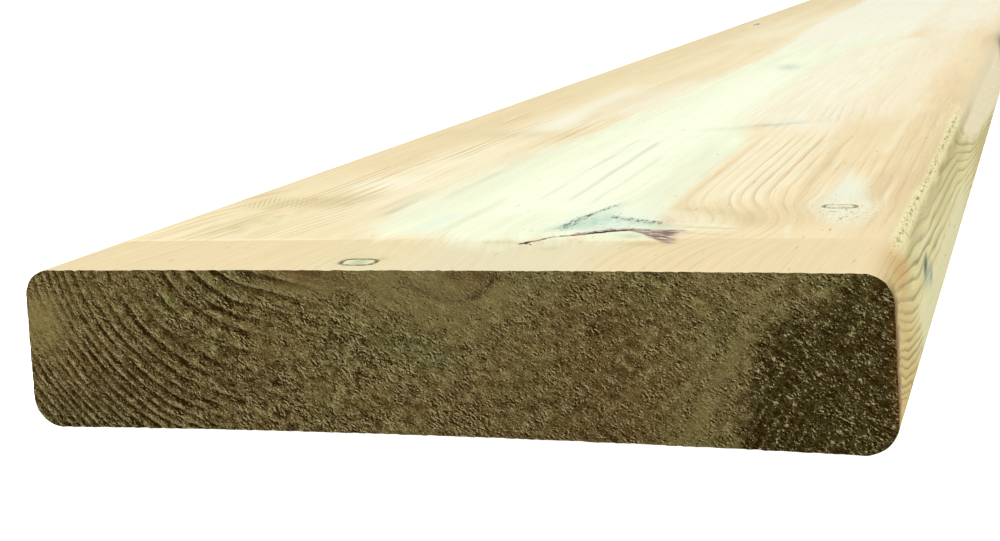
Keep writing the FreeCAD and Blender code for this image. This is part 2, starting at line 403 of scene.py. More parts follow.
def stain_tint(points):
    """Stains on the top as (share, tint name) pairs: a blue bruise across the grain with its pale spot, a slate
    smudge, small green smudges, and everything round the bark pocket."""
    x, s, _ = points.T
    small = noise(points, (2.5, 5, 3.5), 31)
    fleck = noise(points, (0.8, 2.2, 2), 32)
    gap, along = arch_distance(x + 0.35 * fleck, s + 0.4 * small)
    round_it = np.hypot(x - 23, s - 31)
    behind = ramp(gap, 0.2, 1.0) * ramp(s, 30, 34) * ramp(s, 66, 52)
    left_side = path(s, (30, 8), (38, 11), (46, 14), (60, 16))
    right_side = path(s, (30, 36), (37, 30), (40, 25), (44, 20.5), (46, 18.5), (60, 17.5))
    teal = behind * ramp(x, left_side - 1.5, left_side + 2) * ramp(x, right_side + 1.5, right_side - 1.5)
    teal_core = swell(x, 16.5, 3) * swell(s, 41, 6) + 0.8 * swell(x, 14, 3) * swell(s, 35.5, 3)
    wide = behind * np.exp(-(((x - 20) / 13) ** 2) - ((s - 40) / 13) ** 2)
    left_splits = swell(x - path(s, (34, 12.2), (48, 13.8), (61, 17)), 0, path(s, (34, 1.5), (42, 1.4), (50, 0.7)))
    right_splits = swell(s - path(x, (16.7, 46.6), (20.9, 43.0), (29.6, 38.2)), 0, 1.3) * band(x, 17.5, 29, 1)
    splinters = left_splits * band(s, 33, 58, 3) + right_splits
    inside = ramp(gap, -0.2, -1.0) * ramp(s, 22.2, 24.4) * band(x, 18.5, 32, 1.5)
    swoosh = swell(round_it + small, 23.5, 3.4) * ramp(x, 24, 31) * band(s, 36, 56, 6)
    bruise = swell(s - 0.50 * (x - 25), 174, 2.6) * swell(x, 26, 7)
    stains = (
        (0.50 * swoosh, "olive_wash_and_shade"),
        (0.60 * np.exp(-(((x - 37.5) / 4) ** 2) - ((s - 35) / 5) ** 2), "mint_shade"),
        (0.55 * wide, "ice"),
        (0.80 * teal * (0.75 + 0.4 * fleck), "teal_pale"),
        (0.55 * teal * np.clip(teal_core, 0, 1), "teal"),
        (0.50 * np.clip(splinters * (0.7 + 1.3 * fleck), 0, 1), "sage_dark"),
        (0.55 * swell(x, 26.5, 3.5) * swell(s - 39 + 0.5 * (x - 26), 0, 1.6) * behind, "sage"),
        (0.90 * inside, "mint_shade"),
        (0.70 * swell(s + 0.30 * (x - 30.6), 38.9, 0.45) * band(x, 31, 42, 2), "cream"),
        (0.60 * swell(s + 0.12 * (x - 30.0), 33.4, 0.40) * band(x, 34, 44, 2), "cream"),
        (0.60 * swell(s + 0.20 * (x - 30.0), 35.8, 0.60) * band(x, 33, 42, 2), "olive_wash_and_shade"),
        (0.50 * swell(s + 0.25 * (x - 30.0), 31.0, 0.50) * band(x, 35, 43, 2), "olive_wash_and_shade"),
        (0.60 * inside * swell(x + 0.4 * (s - 27), 26.5, 2.2) * swell(s + small, 27, 2.0), "sage"),
        (0.80 * swell(s + 0.15 * small, 23.6, 0.5) * band(x, 19, 32, 2), "yellow"),
        (0.70 * swell(gap, 1.6, 0.7) * band(x, 17, 27, 2), "cream"),
        (0.80 * swell(x, 30.5, 4.0) * swell(s, 20.4, 1.9), "olive_wash_and_shade"),
        (0.50 * swell(x, 5.5, 4.5) * swell(s, 21.8, 1.8), "olive_wash_and_shade"),
        (0.55 * swell(x, 15.5, 1.2) * swell(s, 16.8, 1.4), "sage"),
        (0.60 * bruise + 0.22 * swell(x, 14, 6) * swell(s, 167, 3), "slate"),
        (0.50 * swell(x, 57, 3.2) * band(s, 60, 84, 6), "ice"),
        (0.55 * swell(x + 0.2 * (s - 54), 59, 3.0) * swell(s, 54, 6), "mint_shade"),
        (0.90 * swell(x, 27.5, 3.0) * swell(s, 179, 3.2), "ice"),
        (0.42 * swell(x + 0.16 * (s - 342), 2.6, 4.4) * swell(s, 342, 12), "slate"),
        (0.55 * swell(x + 0.5 * (s - 6), -13.5, 8) * swell(x, -14, 5.5) * swell(s, 7, 5), "olive_wash_and_shade"),
        (0.85 * swell(x, -10.2, 1.1) * swell(s, 8.3, 1.3), "olive_wash_and_shade"),
    )
    return stains, gap, along, fleck, np.clip(splinters, 0, 1)


def bark_fan(x, s):
    """Bark strands that fan out to the right from the arch's crown: how much of the fan is there, and the place
    in it as the distance in mm from its root and the turn in radians times 12."""
    out = np.hypot(x - 18, s - 33.5)
    turn = np.degrees(np.arctan2(33.5 - s, x - 18))
    lowest = path(out, (6, 15), (10, 22), (14, 33), (20, 38))
    far_end = path(turn, (0, 14.5), (8, 16.8), (20, 16.2), (36, 20.5))
    share = ramp(turn, 2, 7) * ramp(turn, lowest + 2, lowest - 2) * ramp(out, 6.5, 9) * ramp(out, far_end + 1.5, far_end - 1.5)
    return share, np.stack([out, np.radians(turn) * 12, x * 0], axis=1) * MM


def bark_fields(gap, along, top):
    """The bark round the arch: the place along it and out from it in mm, how far it reaches outwards and inwards,
    and the half width of its dark core."""
    path_length = 36.0
    place = np.stack([along * path_length, np.where(top > 0.5, gap, 9.0), along * 0], axis=1) * MM
    outwards = path(along, (0, 0.9), (0.12, 0.5), (0.2, 0.3), (0.32, 2.0), (0.48, 2.3), (0.6, 1.2), (0.7, 0.6), (1, 0.4))
    inwards = path(along, (0, 0.8), (0.12, 0.3), (0.3, 0.5), (0.5, 0.6), (0.62, 0.5), (1, 0.4))
    core = path(along, (0, 0.55), (0.1, 0.2), (0.18, 0.3), (0.3, 0.35), (0.38, 0.7), (0.52, 0.7), (0.6, 0.2), (0.9, -0.1), (1, 0.3))
    beyond = (np.abs(gap) > 3.6) | (along > 0.66)
    outwards, inwards, core = (np.where(beyond, -9.0, reach) for reach in (outwards, inwards, core))
    return {"bark_place": place, "bark_out": outwards, "bark_in": inwards, "core_width": core}


def edge_tint(points, colours):
    """Tint of the right edge: tan and orange by the sawn end, olive grain in the middle, a smooth pale strip at
    the foot, a blue grey stain, and further on the beige of the top running down over it."""
    x, s, z = points.T
    small = noise(points, (3.5, 6, 1.6), 33)
    wisp = noise(points, (9, 40, 1.2), 34)
    tint = np.tile(colours.edge, (len(x), 1))
    tint = mix(tint, colours.edge_pale, np.clip(0.35 + 0.9 * wisp, 0, 1) * ramp(s, 20, 40))
    strip = ramp(z + 0.9 * small + 0.5 * wisp, 13.2, 12.2) * ramp(s + 0.9 * z, 44, 52) * ramp(s, 205, 150)
    tint = mix(tint, colours.edge_pale, strip)
    tint = mix(tint, colours.tan, ramp(s + 3 * small + 0.4 * z, 46, 18) * 0.9)
    tint = mix(tint, colours.edge_dark, 0.55 * band(s, 84, 205, 22) * ramp(z + wisp, 15, 20))
    beige = ramp(z + 1.2 * wisp - path(s, (148, 27), (242, 13.5), (330, 8), (460, 1)), -2, 2)
    beige = beige * ramp(s, 140, 200)
    tint = mix(tint, colours.beige, beige)
    tint = mix(tint, colours.edge_dark, 0.7 * ramp(s, 190, 260) * (1 - beige) * ramp(s, 520, 380))
    tint = mix(tint, colours.rust, 0.75 * ramp(s + 2.0 * wisp, 5.0, 1.0) * band(z, 6, 25, 2))
    tint = mix(tint, colours.soaked, 0.45 * ramp(s + 0.8 * small + 0.8 * wisp, 2.4, 0.2) * band(z, 5, 25, 2))
    tint = mix(tint, colours.soaked, 0.75 * np.exp(-(((s - 478) / 26) ** 2) - ((z - 23) / 4) ** 2))
    halo = np.exp(-(((s - 57) / 9) ** 2) - ((z - 15.2 + 0.22 * (s - 55)) / 2.4) ** 2)
    tint = mix(tint, colours.slate_pale, 1.0 * np.clip(halo * (1.1 + 0.3 * small), 0, 1))
    spots = np.exp(-(((s - 53.2) / 3.0) ** 2) - ((z - 16.7) / 1.4) ** 2)
    spots = spots + 0.45 * np.exp(-(((s - 64.5) / 2.6) ** 2) - ((z - 12.4) / 1.0) ** 2)
    tint = mix(tint, colours.slate_dark, np.clip(spots * (1.8 + 0.5 * small), 0, 1))
    return tint, strip, beige


def long_fields(points, w, nx, nz, colours):
    """Everything the planed material reads on the long faces: the ring number, the wood's tint and the field's,
    the share of the field and of stains, how strong the rings are, bark and knots, and the relief in mm."""
    x, s, z = points.T
    top, right, left, under = facing(nx, nz)
    small = noise(points, (3.5, 14, 3.5), 13)

    tint, chatter, field, mint = top_tint(points, colours)
    stains, gap, along, fleck, splinters = stain_tint(points)
    stain = np.zeros(len(x))
    stain_colour = np.tile(colours.ice, (len(x), 1))
    for share, name in stains:
        share = np.clip(share, 0, 1) * top
        total = 1 - (1 - stain) * (1 - share)
        weight = share / np.maximum(total, 1e-6)
        stain_colour = mix(stain_colour, getattr(colours, name), weight)
        stain = total
    bark = bark_fields(gap, along, top)
    fan, fan_place = bark_fan(x, s)
    depth = 0.08 * swell(gap, 0.5, 1.2) * top
    under_tint = np.tile(colours.sapwood, (len(x), 1))
    under_tint = mix(under_tint, colours.cream, np.clip(0.4 + 0.6 * noise(points, (22, 260, 22), 35), 0, 1))
    under_tint = mix(under_tint, colours.dull, 0.5 * ramp(noise(points, (14, 120, 14), 36), 0, 0.5))
    tint = tint + (under_tint - tint) * (under + left)[:, None]
    # Painted shade: the left face and the left arris are darkened towards olive.
    tint = mix(tint, colours.olive_wash_and_shade, 0.30 * left)
    field = field * top

    # Halos, hearts and rings of the knots.
    inset = w - RUN_STARTS[4]
    nearest = np.full(len(x), 9.0)
    darkest = np.zeros(len(x))
    clear = np.ones(len(x))
    for knot in KNOTS:
        name, _, heading, across, length, dark = knot
        reach, side, back = knot_reach(points, knot)
        here = ramp(top + under if heading == "down" else right + left, 0, 0.25)
        halo = np.exp(-((side / (2.2 * across)) ** 2) - (back / (3.5 * length)) ** 2)
        tint = mix(tint, colours.mint_shade if across < 4 else colours.tan_pink, 0.35 * halo * here)
        heart = colours.heart_dark if across > 4 else colours.heart if across > 2.92 else colours.heart_pale
        inner = ramp(reach, 1.05, 0.85) * here
        tint = mix(tint, heart, inner)
        tint = mix(tint, colours.heart_pale, 0.8 * inner * ramp(np.abs(side - 0.3) / across, 0.15, 0.6) * (across < 4))
        field, stain = field * (1 - inner), stain * (1 - inner)
        reach = np.where(here > 0.5, reach, 9.0)
        darkest = np.where(reach < nearest, dark, darkest)
        nearest = np.minimum(nearest, reach)
        clear = clear * (1 - ramp(reach, 1.15, 0.8))
    depth = depth + 0.12 * swell(nearest, 1, 0.2) * darkest
    tint = mix(tint, colours.tan_pink, 0.8 * ramp(inset + 0.4 * small, 2.0, 0.5) * swell(s, 445, 45) * (top + right))
    arris_bark = swell(x, -71, 4) * swell(s, 622, 16) * (top + left)
    tint = mix(tint, colours.bark_mauve, 0.8 * arris_bark)
    spindle_half = path(s, (32, 1.0), (40, 3.2), (54, 5.2), (70, 3.4), (90, 1.6), (112, 0.5))
    spindle_mid = path(s, (32, 61.5), (40, 60.4), (54, 58.4), (75, 56.2), (112, 54.0))
    spindle = ramp(np.abs(x - spindle_mid + 1.2 * small), spindle_half + 2.8, spindle_half - 2.4) * band(s, 34, 100, 9)
    spindle = 0.85 * spindle * clear * top

    # The right edge, the torn yellow strip on the arris above it, and resin by the end.
    edge, low_strip, beige = edge_tint(points, colours)
    tint = tint + (edge - tint) * (right * clear)[:, None]
    upper = path(s, (0, -2.4), (40, -1.2), (110, -2.0), (200, -1.0))
    strip = band(inset + 0.6 * small, path(s, (0, -4.8), (200, -4.2)), upper, 0.6)
    strip = strip * ramp(s, 8, 30) * ramp(s, 240, 180)
    tint = mix(tint, colours.yellow, 0.80 * strip)
    tint = mix(tint, colours.olive, 0.45 * swell(inset + 0.4 * small, -4.8, 0.6) * ramp(s, 12, 30) * ramp(s, 260, 200))
    orange = swell(w - RUN_STARTS[3], 2.0, 3.2) * swell(s, 15, 7)
    tint = mix(tint, colours.orange, 0.65 * orange)

    # How strongly the latewood shows, and its tint.
    patchy = ramp(noise(points, (6, 34, 18), 16), 0.0, 0.7)
    lines = 0.40 * band(x, 25, 32, 2) + 0.9 * band(x, 34, 43.5, 1.5) + 0.5 * band(x, 44, 50, 2)
    lines = lines * (band(s, 56, 150, 12) + 0.45 * band(s, 0, 60, 6) + 0.5 * band(s, 182, 215, 8))
    strength = (0.02 + (0.32 + 0.28 * ramp(x, -15, -30)) * patchy) * (0.4 + 0.6 * ramp(s, 22, 27)) + 0.55 * lines
    strength = strength + 0.42 * band(x, -62, -34, 5) * band(s, 27, 58, 5) * ramp(noise(points, (4, 24, 9), 19), -0.3, 0.5)
    strength = strength + 0.25 * ramp(x, 56, 66) * ramp(s, 25, 50) * ramp(s, 420, 200)
    strength = strength * (1 - 0.8 * field) * (1 - 0.7 * ramp(s, 190, 280)) * (1 - 0.8 * spindle)
    broken = 0.80 + 0.45 * noise(points, (5, 13, 1.8), 15) * ramp(s, 110, 60)
    on_edge = 0.85 * broken * (1 - 0.92 * low_strip) * (1 - 0.92 * beige) * (1 - 0.25 * ramp(s, 60, 120))
    strength = strength * top + right * on_edge
    strength = strength + (0.4 * left + 0.35 * under)
    strength = strength * (1 - 0.85 * strip) * clear
    late = np.tile(colours.latewood, (len(x), 1))
    late = mix(late, colours.olive, np.clip(right + 0.4 * left, 0, 1))
    specks = swell(x, 60, 4) * swell(s, 46, 7) + 0.5 * swell(x, 57, 8) * swell(s, 55, 12) + 0.35 * strip
    specks = specks + 2.5 * splinters + 1.5 * strip * swell(inset, -2.7, 0.7)
    specks = specks + (0.6 * swell(x, 22, 11) * swell(s, 39, 7) + 0.3 * swell(x, -13.6, 6) * swell(s, 7, 5)) * top
    depth = depth + 0.10 * strip * (1 + noise(points, (0.9, 2.2, 0.9), 17))
    depth = depth + 0.035 * ramp(s + 0.4 * small, 25.6, 24.4) * ramp(x, 34, 16) * top
    rings = long_rings(points, nx, nz)
    return {
        "grain_place": np.stack([rings * RING, s, x * 0], axis=1) * MM,
        "ring_strength": np.clip(strength, 0, 1),
        "earlywood": tint,
        "latewood": late,
        "field": field,
        "field_tint": mint,
        "spindle": spindle,
        "stain": np.clip(stain, 0, 1),
        "stain_tint": stain_colour,
        **bark,
        "fan": fan * top,
        "fan_place": fan_place,
        "knot_reach": nearest,
        "knot_dark": darkest,
        "specks": np.clip(specks, 0, 2) * (1 - under),
        "chatter": chatter * ramp(x, -44, -54) * top,
        "relief": np.clip(depth, 0, None),
    }


# The sawn end's rings stand as ridges at these distances in mm from the line between its two centres: the pith
# and the middle of the wide arcs on the left, each as (x, z).
PITH = (8.0, 30.5)
ARC_MIDDLE = (-26.6, 38.9)
RIDGES = (
    0, 2.6, 5.4, 9.9, 12.6, 15.1, 18.0, 20.3, 22.5, 25.6, 29.0, 31.6, 34.2, 36.1, 37.9, 39.7, 41.1, 42.4, 43.9, 45.5,
    47.0, 48.3, 49.5, 50.8, 51.9, 53.2, 54.6, 56.1, 57.5, 59.0, 60.6, 62.1, 63.5, 65.2, 66.8, 68.4, 70.0, 72.0,
)


def end_rings(points):
    """Distance in mm from the line between the two ring centres, and the distance round it. Beside the line the
    rings are straight, and past its ends they are circles about the centres."""
    x, _, z = points.T
    place = np.stack([x, z], axis=1)
    start, stop = np.array(ARC_MIDDLE), np.array(PITH)
    line = stop - start
    length = np.linalg.norm(line)
    t = np.clip(((place - start) @ line) / length**2, 0, 1)
    away = place - start - t[:, None] * line
    out = np.linalg.norm(away, axis=1)
    heading = np.arctan2(away[:, 0], -away[:, 1])
    return out + 0.22 * noise(points, (5, 5, 5), 21), t * length + out * heading


def lean_to_saw(points):
    """The points turned so that x runs along the saw's teeth, down to the right at 33 degrees."""
    angle = math.radians(33)
    x, s, z = points.T
    along = x * math.cos(angle) - z * math.sin(angle)
    across = x * math.sin(angle) + z * math.cos(angle)
    return np.stack([along, s, across], axis=1)


def end_fields(points, colours):
    """Everything the sawn material reads on an end: its tint, how ridged, torn and coarse it is, the ring number
    and the distance round the rings, and the relief in mm."""
    x, _, z = points.T
    out, round_rings = end_rings(points)
    count = np.interp(out, RIDGES, np.arange(len(RIDGES)))
    phase = count % 1
    blotch = noise(points, (8, 8, 8), 23)
    patchy = noise(points, (3.5, 3.5, 3.5), 28)
    drift = noise(points, (10, 10, 10), 27)

    # Ridges on the left third, weaker where the saw left it smooth or crumbled the broad rings.
    banded = ramp(-x + 3.5 * blotch + 2.5 * patchy + 0.36 * (z - 8), 19, 42)
    banded = banded * (1 - 0.9 * swell(x, -69, 5.5) * swell(z, 17.5, 7)) * (1 - 0.45 * swell(out, 27.5, 3.5))
    banded = banded * (1 - 0.5 * swell(x, -57, 8) * swell(z, 24, 4)) * (0.85 + 0.3 * patchy)
    lower_right = ramp(x, 49, 51) * ramp(x, 61, 57) * ramp(z, 9, 5)
    corner = path(z, (0, 48.5), (5, 49.5), (14.3, 50.4), (16.8, 51.6), (19.1, 53.9), (21.3, 58.4), (24, 63), (27, 66.5))
    coarse = ramp(x + 1.2 * blotch + 1.0 * patchy - corner, -1.2, 2.2)
    from_pith = np.hypot((x - 5.2) * np.where(x < 5.2, 0.78, 1.0), z - 29.9)
    pith_arcs = swell(from_pith, 7.9, 0.45) * ramp(x, -9, -1) + 0.6 * swell(from_pith, 7.4, 1.1) * ramp(x, 5, 10)
    pith_arcs = pith_arcs + 0.6 * swell(from_pith, 4.2, 0.4) + 0.4 * swell(from_pith, 15.6, 0.4) * band(x, -14, 18, 5)
    stripes = swell(x - 0.55 * z, 40.3, 1.5) + 0.6 * swell(x - 0.55 * z, 36.2, 1.1)
    smooth = 0.9 * swell(x, 2, 15) * ramp(z, 14, 23) + 0.8 * swell(x, -21, 8) * ramp(z, 22.5, 24.5)
    smooth = smooth + 0.65 * stripes + 0.95 * swell(x, -69, 5) * swell(z, 18, 6)
    smooth = smooth + 0.6 * swell(x, -28, 5) * swell(z, 13.5, 3.5) + 0.5 * swell(x, -19, 3) * swell(z, 6, 6)
    smooth = np.clip(smooth + 0.5 * ramp(noise(points, (5, 5, 5), 24), 0.2, 0.8), 0, 1)
    torn = (1 - 0.75 * smooth) * (1 - 0.12 * banded) * (1 + 0.6 * swell(x, -26, 20) * ramp(z, 25, 20))

    flakes = noise(lean_to_saw(points), (1.4, 1.4, 0.7), 25)
    depth = 0.28 * banded * ramp(phase, 0.95, 0.0) ** 0.8 + 0.10 * torn * (1 + 1.0 * coarse) * (1 - flakes)
    depth = depth + 0.04 * (1 + blotch) + 0.08 * pith_arcs
    depth = np.clip(depth, 0, 0.9)

    tint = np.tile(colours.end_grain, (len(x), 1))
    tint = mix(tint, colours.end_green, np.clip(0.35 + 0.9 * drift + 0.5 * patchy, 0, 1) * ramp(x, -55, -35))
    tint = mix(tint, colours.end_moss, 0.6 * np.exp(-((x / 7) ** 2) - ((z - 13.5) / 3.0) ** 2))
    tint = mix(tint, colours.end_moss, 0.7 * np.exp(-(((x - 19) / 5) ** 2) - ((z - 25) / 2.5) ** 2))
    tint = mix(tint, colours.end_green, 0.6 * swell(x, -18, 3) * ramp(z, 14, 6))
    tint = mix(tint, colours.end_light, 0.85 * swell(x, 4, 19) * ramp(z, 12, 23))
    tint = mix(tint, colours.end_brown, 0.85 * swell(x, 29, 9) * ramp(z, 27, 18) + 0.5 * swell(x, 10, 10) * ramp(z, 14, 4))
    tint = mix(tint, colours.end_dark, 0.55 * ramp(x, -42, -56) * ramp(z - 0.3 * (x + 60), 11, 5))
    tint = mix(tint, colours.end_shade, 0.22 * swell(x, -46, 9) * swell(z, 14, 9))
    brown = swell(x, -20, 7) * ramp(z, 23.5, 25.5) + ramp(np.hypot(x - 7.2, z - 28.5), 4.8, 3.8)
    brown = brown + 0.6 * swell(x, -44, 14) * swell(z, 9, 6) + 0.7 * swell(x, -64, 6) * swell(z, 12, 3)
    tint = mix(tint, colours.end_brown, 0.8 * np.clip(brown, 0, 1))
    tint = mix(tint, colours.end_light, 0.8 * np.clip(stripes, 0, 1))
    tint = mix(tint, colours.end_green, 0.5 * np.clip(stripes, 0, 1) * ramp(z, 14, 4))
    tint = mix(tint, colours.end_pale, 0.9 * swell(x, -69.5, 6) * swell(z, 18.5, 6))
    tint = mix(tint, colours.end_shade, 0.65 * pith_arcs)
    tint = mix(tint, colours.end_dark, 0.95 * coarse * (1 - 0.45 * ramp(z - 0.7 * (x - 50), 10, 16)))
    green = np.exp(-(((x + 44.5) / 1.4) ** 2) - ((z - 21) / 1.4) ** 2)
    green = green + 0.8 * np.exp(-(((x + 37.5) / 1) ** 2) - ((z - 15.3) / 1.1) ** 2)
    tint = mix(tint, colours.moss, 0.7 * green)
    rim = ramp(x, HALF - 1.6, HALF - 0.2) * ramp(z, 2, 8) * ramp(z, 26, 20)
    tint = mix(tint, colours.rust, 0.6 * rim)
    return {
        "end_tint": tint,
        "torn": torn,
        "coarse": coarse,
        "banded": np.clip(banded + 0.5 * lower_right, 0, 1),
        "ring_count": count,
        "ring_width": np.interp(out, np.array(RIDGES[:-1]) + np.diff(RIDGES) / 2, np.diff(RIDGES)),
        "saw_place": np.stack([round_rings, out, x * 0], axis=1) * MM,
        "pull_place": np.stack([x, z - 0.68 * np.hypot(x - 3, 6), x * 0 + 0.37], axis=1) * MM,
        "relief": depth,
    }


CAP_SPACING = 0.34
BACK_CAP_SPACING = 1.0
COLLAR = 0.55
LOOP = steps(
    (
        (0, RUN_ENDS[0], 4.5),
        (RUN_STARTS[1], RUN_ENDS[1], 1.3),
        (RUN_STARTS[2], RUN_ENDS[2], 1.0),
        (RUN_STARTS[3], RUN_ENDS[3], 0.9),
        (RUN_STARTS[4], RUN_STARTS[4] + 5, 1.0),
        (RUN_STARTS[4] + 5, RUN_STARTS[4] + 16, 0.6),
        (RUN_STARTS[4] + 16, RUN_STARTS[4] + 32, 1.0),
        (RUN_STARTS[4] + 32, RUN_STARTS[4] + 68, 0.6),
        (RUN_STARTS[4] + 68, RUN_STARTS[4] + 75, 1.0),
        (RUN_STARTS[4] + 75, RUN_STARTS[4] + 87, 0.6),
        (RUN_STARTS[4] + 87, RUN_STARTS[4] + 88, 1.0),
        (RUN_STARTS[4] + 88, RUN_ENDS[4], 1.7),
        (RUN_STARTS[5], RUN_ENDS[5], 1.1),
        (RUN_STARTS[6], RUN_ENDS[6], 2.2),
        (RUN_STARTS[7], RUN_ENDS[7], 1.6),
        (RUN_STARTS[8], GIRTH, 4.5),
    )
)
STATIONS = np.append(
    steps(
        (
            (1.3, 13, 0.65),
            (13, 21, 1.2),
            (21, 42, 0.6),
            (42, 49, 1.0),
            (49, 60, 0.65),
            (60, 80, 1.3),
            (80, 130, 2.4),
            (130, 240, 4.0),
            (240, 500, 8.5),
            (500, 960, 16.0),
            (960, LENGTH - 12, 20.0),
            (LENGTH - 12, LENGTH - 1.3, 3.5),
        )
    ),
    LENGTH - 1.3,
)


def cap_grid(spacing):
    """Section places of a grid over the whole end, and the numbers and w of its rim. The four sides of the grid
    are the section from the middle of one arris to the next, and the inside is their Coons patch: the mean of
    the sides across and the sides up, less the blend of the four corners."""
    corners = (RUN_STARTS[[1, 3, 5, 7]] + RUN_ENDS[[1, 3, 5, 7]]) / 2
    low_right, top_right, top_left, low_left = corners
    columns = int(round((top_left - top_right) / spacing))
    rows = int(round((top_right - low_right) / spacing))
    u = np.linspace(0, 1, columns + 1)
    v = np.linspace(0, 1, rows + 1)
    w_top = top_left + (top_right - top_left) * u
    w_low = low_left + (low_right + GIRTH - low_left) * u
    w_left = low_left + (top_left - low_left) * v
    w_right = low_right + (top_right - low_right) * v
    top, low, left, right = (np.stack(section(w)[:2], axis=-1) for w in (w_top, w_low, w_left, w_right))
    u2, v2 = u[None, :, None], v[:, None, None]
    ruled = (1 - v2) * low + v2 * top + (1 - u2) * left[:, None] + u2 * right[:, None]
    square = (1 - v2) * ((1 - u2) * low[0] + u2 * low[-1]) + v2 * ((1 - u2) * top[0] + u2 * top[-1])
    grid = ruled - square
    number = np.arange((rows + 1) * (columns + 1)).reshape(rows + 1, columns + 1)
    rim = np.concatenate([number[:-1, -1], number[-1, :0:-1], number[:0:-1, 0], number[0, :-1]])
    rim_w = np.concatenate([w_right[:-1], w_top[:0:-1], w_left[:0:-1], w_low[:-1]]) % GIRTH
    order = np.argsort(rim_w)
    quads = np.stack([number[:-1, :-1], number[:-1, 1:], number[1:, 1:], number[1:, :-1]], axis=-1)
    return grid.reshape(-1, 2), quads.reshape(-1, 4), rim[order], rim_w[order]


def zip_rings(front, front_w, back, back_w):
    """Triangles between two rings of different counts. Each edge of one ring is paired with the point of the
    other that has been reached by the time w passes the edge's middle."""
    front_middle = (front_w + np.append(front_w[1:], GIRTH + front_w[0])) / 2
    back_middle = (back_w + np.append(back_w[1:], GIRTH + back_w[0])) / 2
    back_reached = back[np.searchsorted(back_middle, front_middle) % len(back)]
    front_reached = front[np.searchsorted(front_middle, back_middle) % len(front)]
    return np.concatenate(
        [
            np.stack([front, back_reached, np.roll(front, -1)], axis=1),
            np.stack([back, np.roll(back, -1), front_reached], axis=1),
        ]
    )


def board_surface(shape, colours):
    """The whole closed surface: points in mm, faces, which faces are sawn ends, and the fields. Each end is a
    grid, then a narrow collar with the same rim, then a zip to the coarser rings along the board."""
    loops, stations = len(LOOP), len(STATIONS)
    w, s = (array.ravel() for array in np.meshgrid(LOOP, STATIONS))
    blocks, quads, triangles, sawn = [], [], [], []
    x, z, nx, nz = section(w)
    blocks.append(dict(x=x, s=s, z=z, nx=nx, nz=nz, w=w))
    number = np.arange(loops * stations).reshape(stations, loops)
    after = np.roll(number, -1, axis=1)
    quads.append(np.stack([number[:-1], number[1:], after[1:], after[:-1]], axis=-1).reshape(-1, 4))
    sawn.append(np.zeros(len(quads[0]), bool))
    count = loops * stations
    rims = []
    for front, spacing in ((True, CAP_SPACING), (False, BACK_CAP_SPACING)):
        grid, cap_quads, rim, rim_w = cap_grid(spacing)
        size = len(grid)
        place = 0.0 if front else LENGTH
        zero = np.zeros(size)
        blocks.append(dict(x=grid[:, 0], s=zero + place, z=grid[:, 1], nx=zero, nz=zero, w=zero, cap=1 if front else -1))
        x, z, nx, nz = section(rim_w)
        inset = COLLAR if front else LENGTH - COLLAR
        blocks.append(dict(x=x, s=np.full(len(x), inset), z=z, nx=nx, nz=nz, w=rim_w))
        rim = rim + count
        collar = np.arange(len(rim)) + count + size
        cap_quads = cap_quads + count
        ring_quads = np.stack([rim, collar, np.roll(collar, -1), np.roll(rim, -1)], axis=1)
        zipped = zip_rings(collar, rim_w, number[0] if front else number[-1], LOOP)
        if not front:
            cap_quads, ring_quads, zipped = cap_quads[:, ::-1], ring_quads[:, ::-1], zipped[:, ::-1]
        quads += [cap_quads, ring_quads]
        sawn += [np.ones(len(cap_quads), bool), np.zeros(len(ring_quads), bool)]
        triangles.append(zipped)
        rims.append((rim, rim_w))
        count += size + len(rim)

    joined = {key: np.concatenate([block[key] for block in blocks]) for key in ("x", "s", "z", "nx", "nz", "w")}
    cap = np.concatenate([np.full(len(block["x"]), block.get("cap", 0)) for block in blocks])
    for rim, rim_w in rims:
        joined["w"][rim] = rim_w
        joined["nx"][rim], joined["nz"][rim] = section(rim_w)[2:]
    points = np.stack([joined["x"], joined["s"], joined["z"]], axis=1)
    nx, nz = joined["nx"], joined["nz"]
    fields = long_fields(points, joined["w"], nx, nz, colours)
    ends = end_fields(points, colours)
    relief, end_relief = fields.pop("relief"), ends.pop("relief")
    fields.update(ends)

    on_rim = (nx != 0) | (nz != 0)
    chipped = np.where((cap != 0) & on_rim, 0.10 * (1 + noise(points, 0.8, 31)), 0)
    inward = np.where(cap == 0, relief, chipped)
    moved = points.copy()
    moved[:, 0] -= nx * inward
    moved[:, 2] -= nz * inward
    moved[:, 1] += cap * np.where(on_rim, 0.45 * end_relief, end_relief)
    moved[:, 0], moved[:, 2] = cup(moved[:, 0], moved[:, 2], shape)
    return moved, points, joined["w"], quads, triangles, sawn, fields, [rim for rim, _ in rims]


# Where the faces lie in the baked picture: the long faces in four strips with the length along u, opened out
# near the photographed end, and above them the two sawn ends.
U_KNOTS = ((0, 0.004), (40, 0.13), (250, 0.52), (1800, 0.996))
STRIPS = (
    (RUN_STARTS[1], RUN_STARTS[3] + 1.8, 0.012, 0.105),
    (RUN_STARTS[3] + 1.8, RUN_ENDS[5], 0.112, 0.560),
    (RUN_ENDS[5], RUN_ENDS[7], 0.567, 0.640),
    (RUN_ENDS[7], GIRTH + RUN_STARTS[1], 0.647, 0.770),
)
END_BOX = (0.004, 0.822, 0.996, 0.996)
BACK_BOX = (0.004, 0.776, 0.300, 0.816)


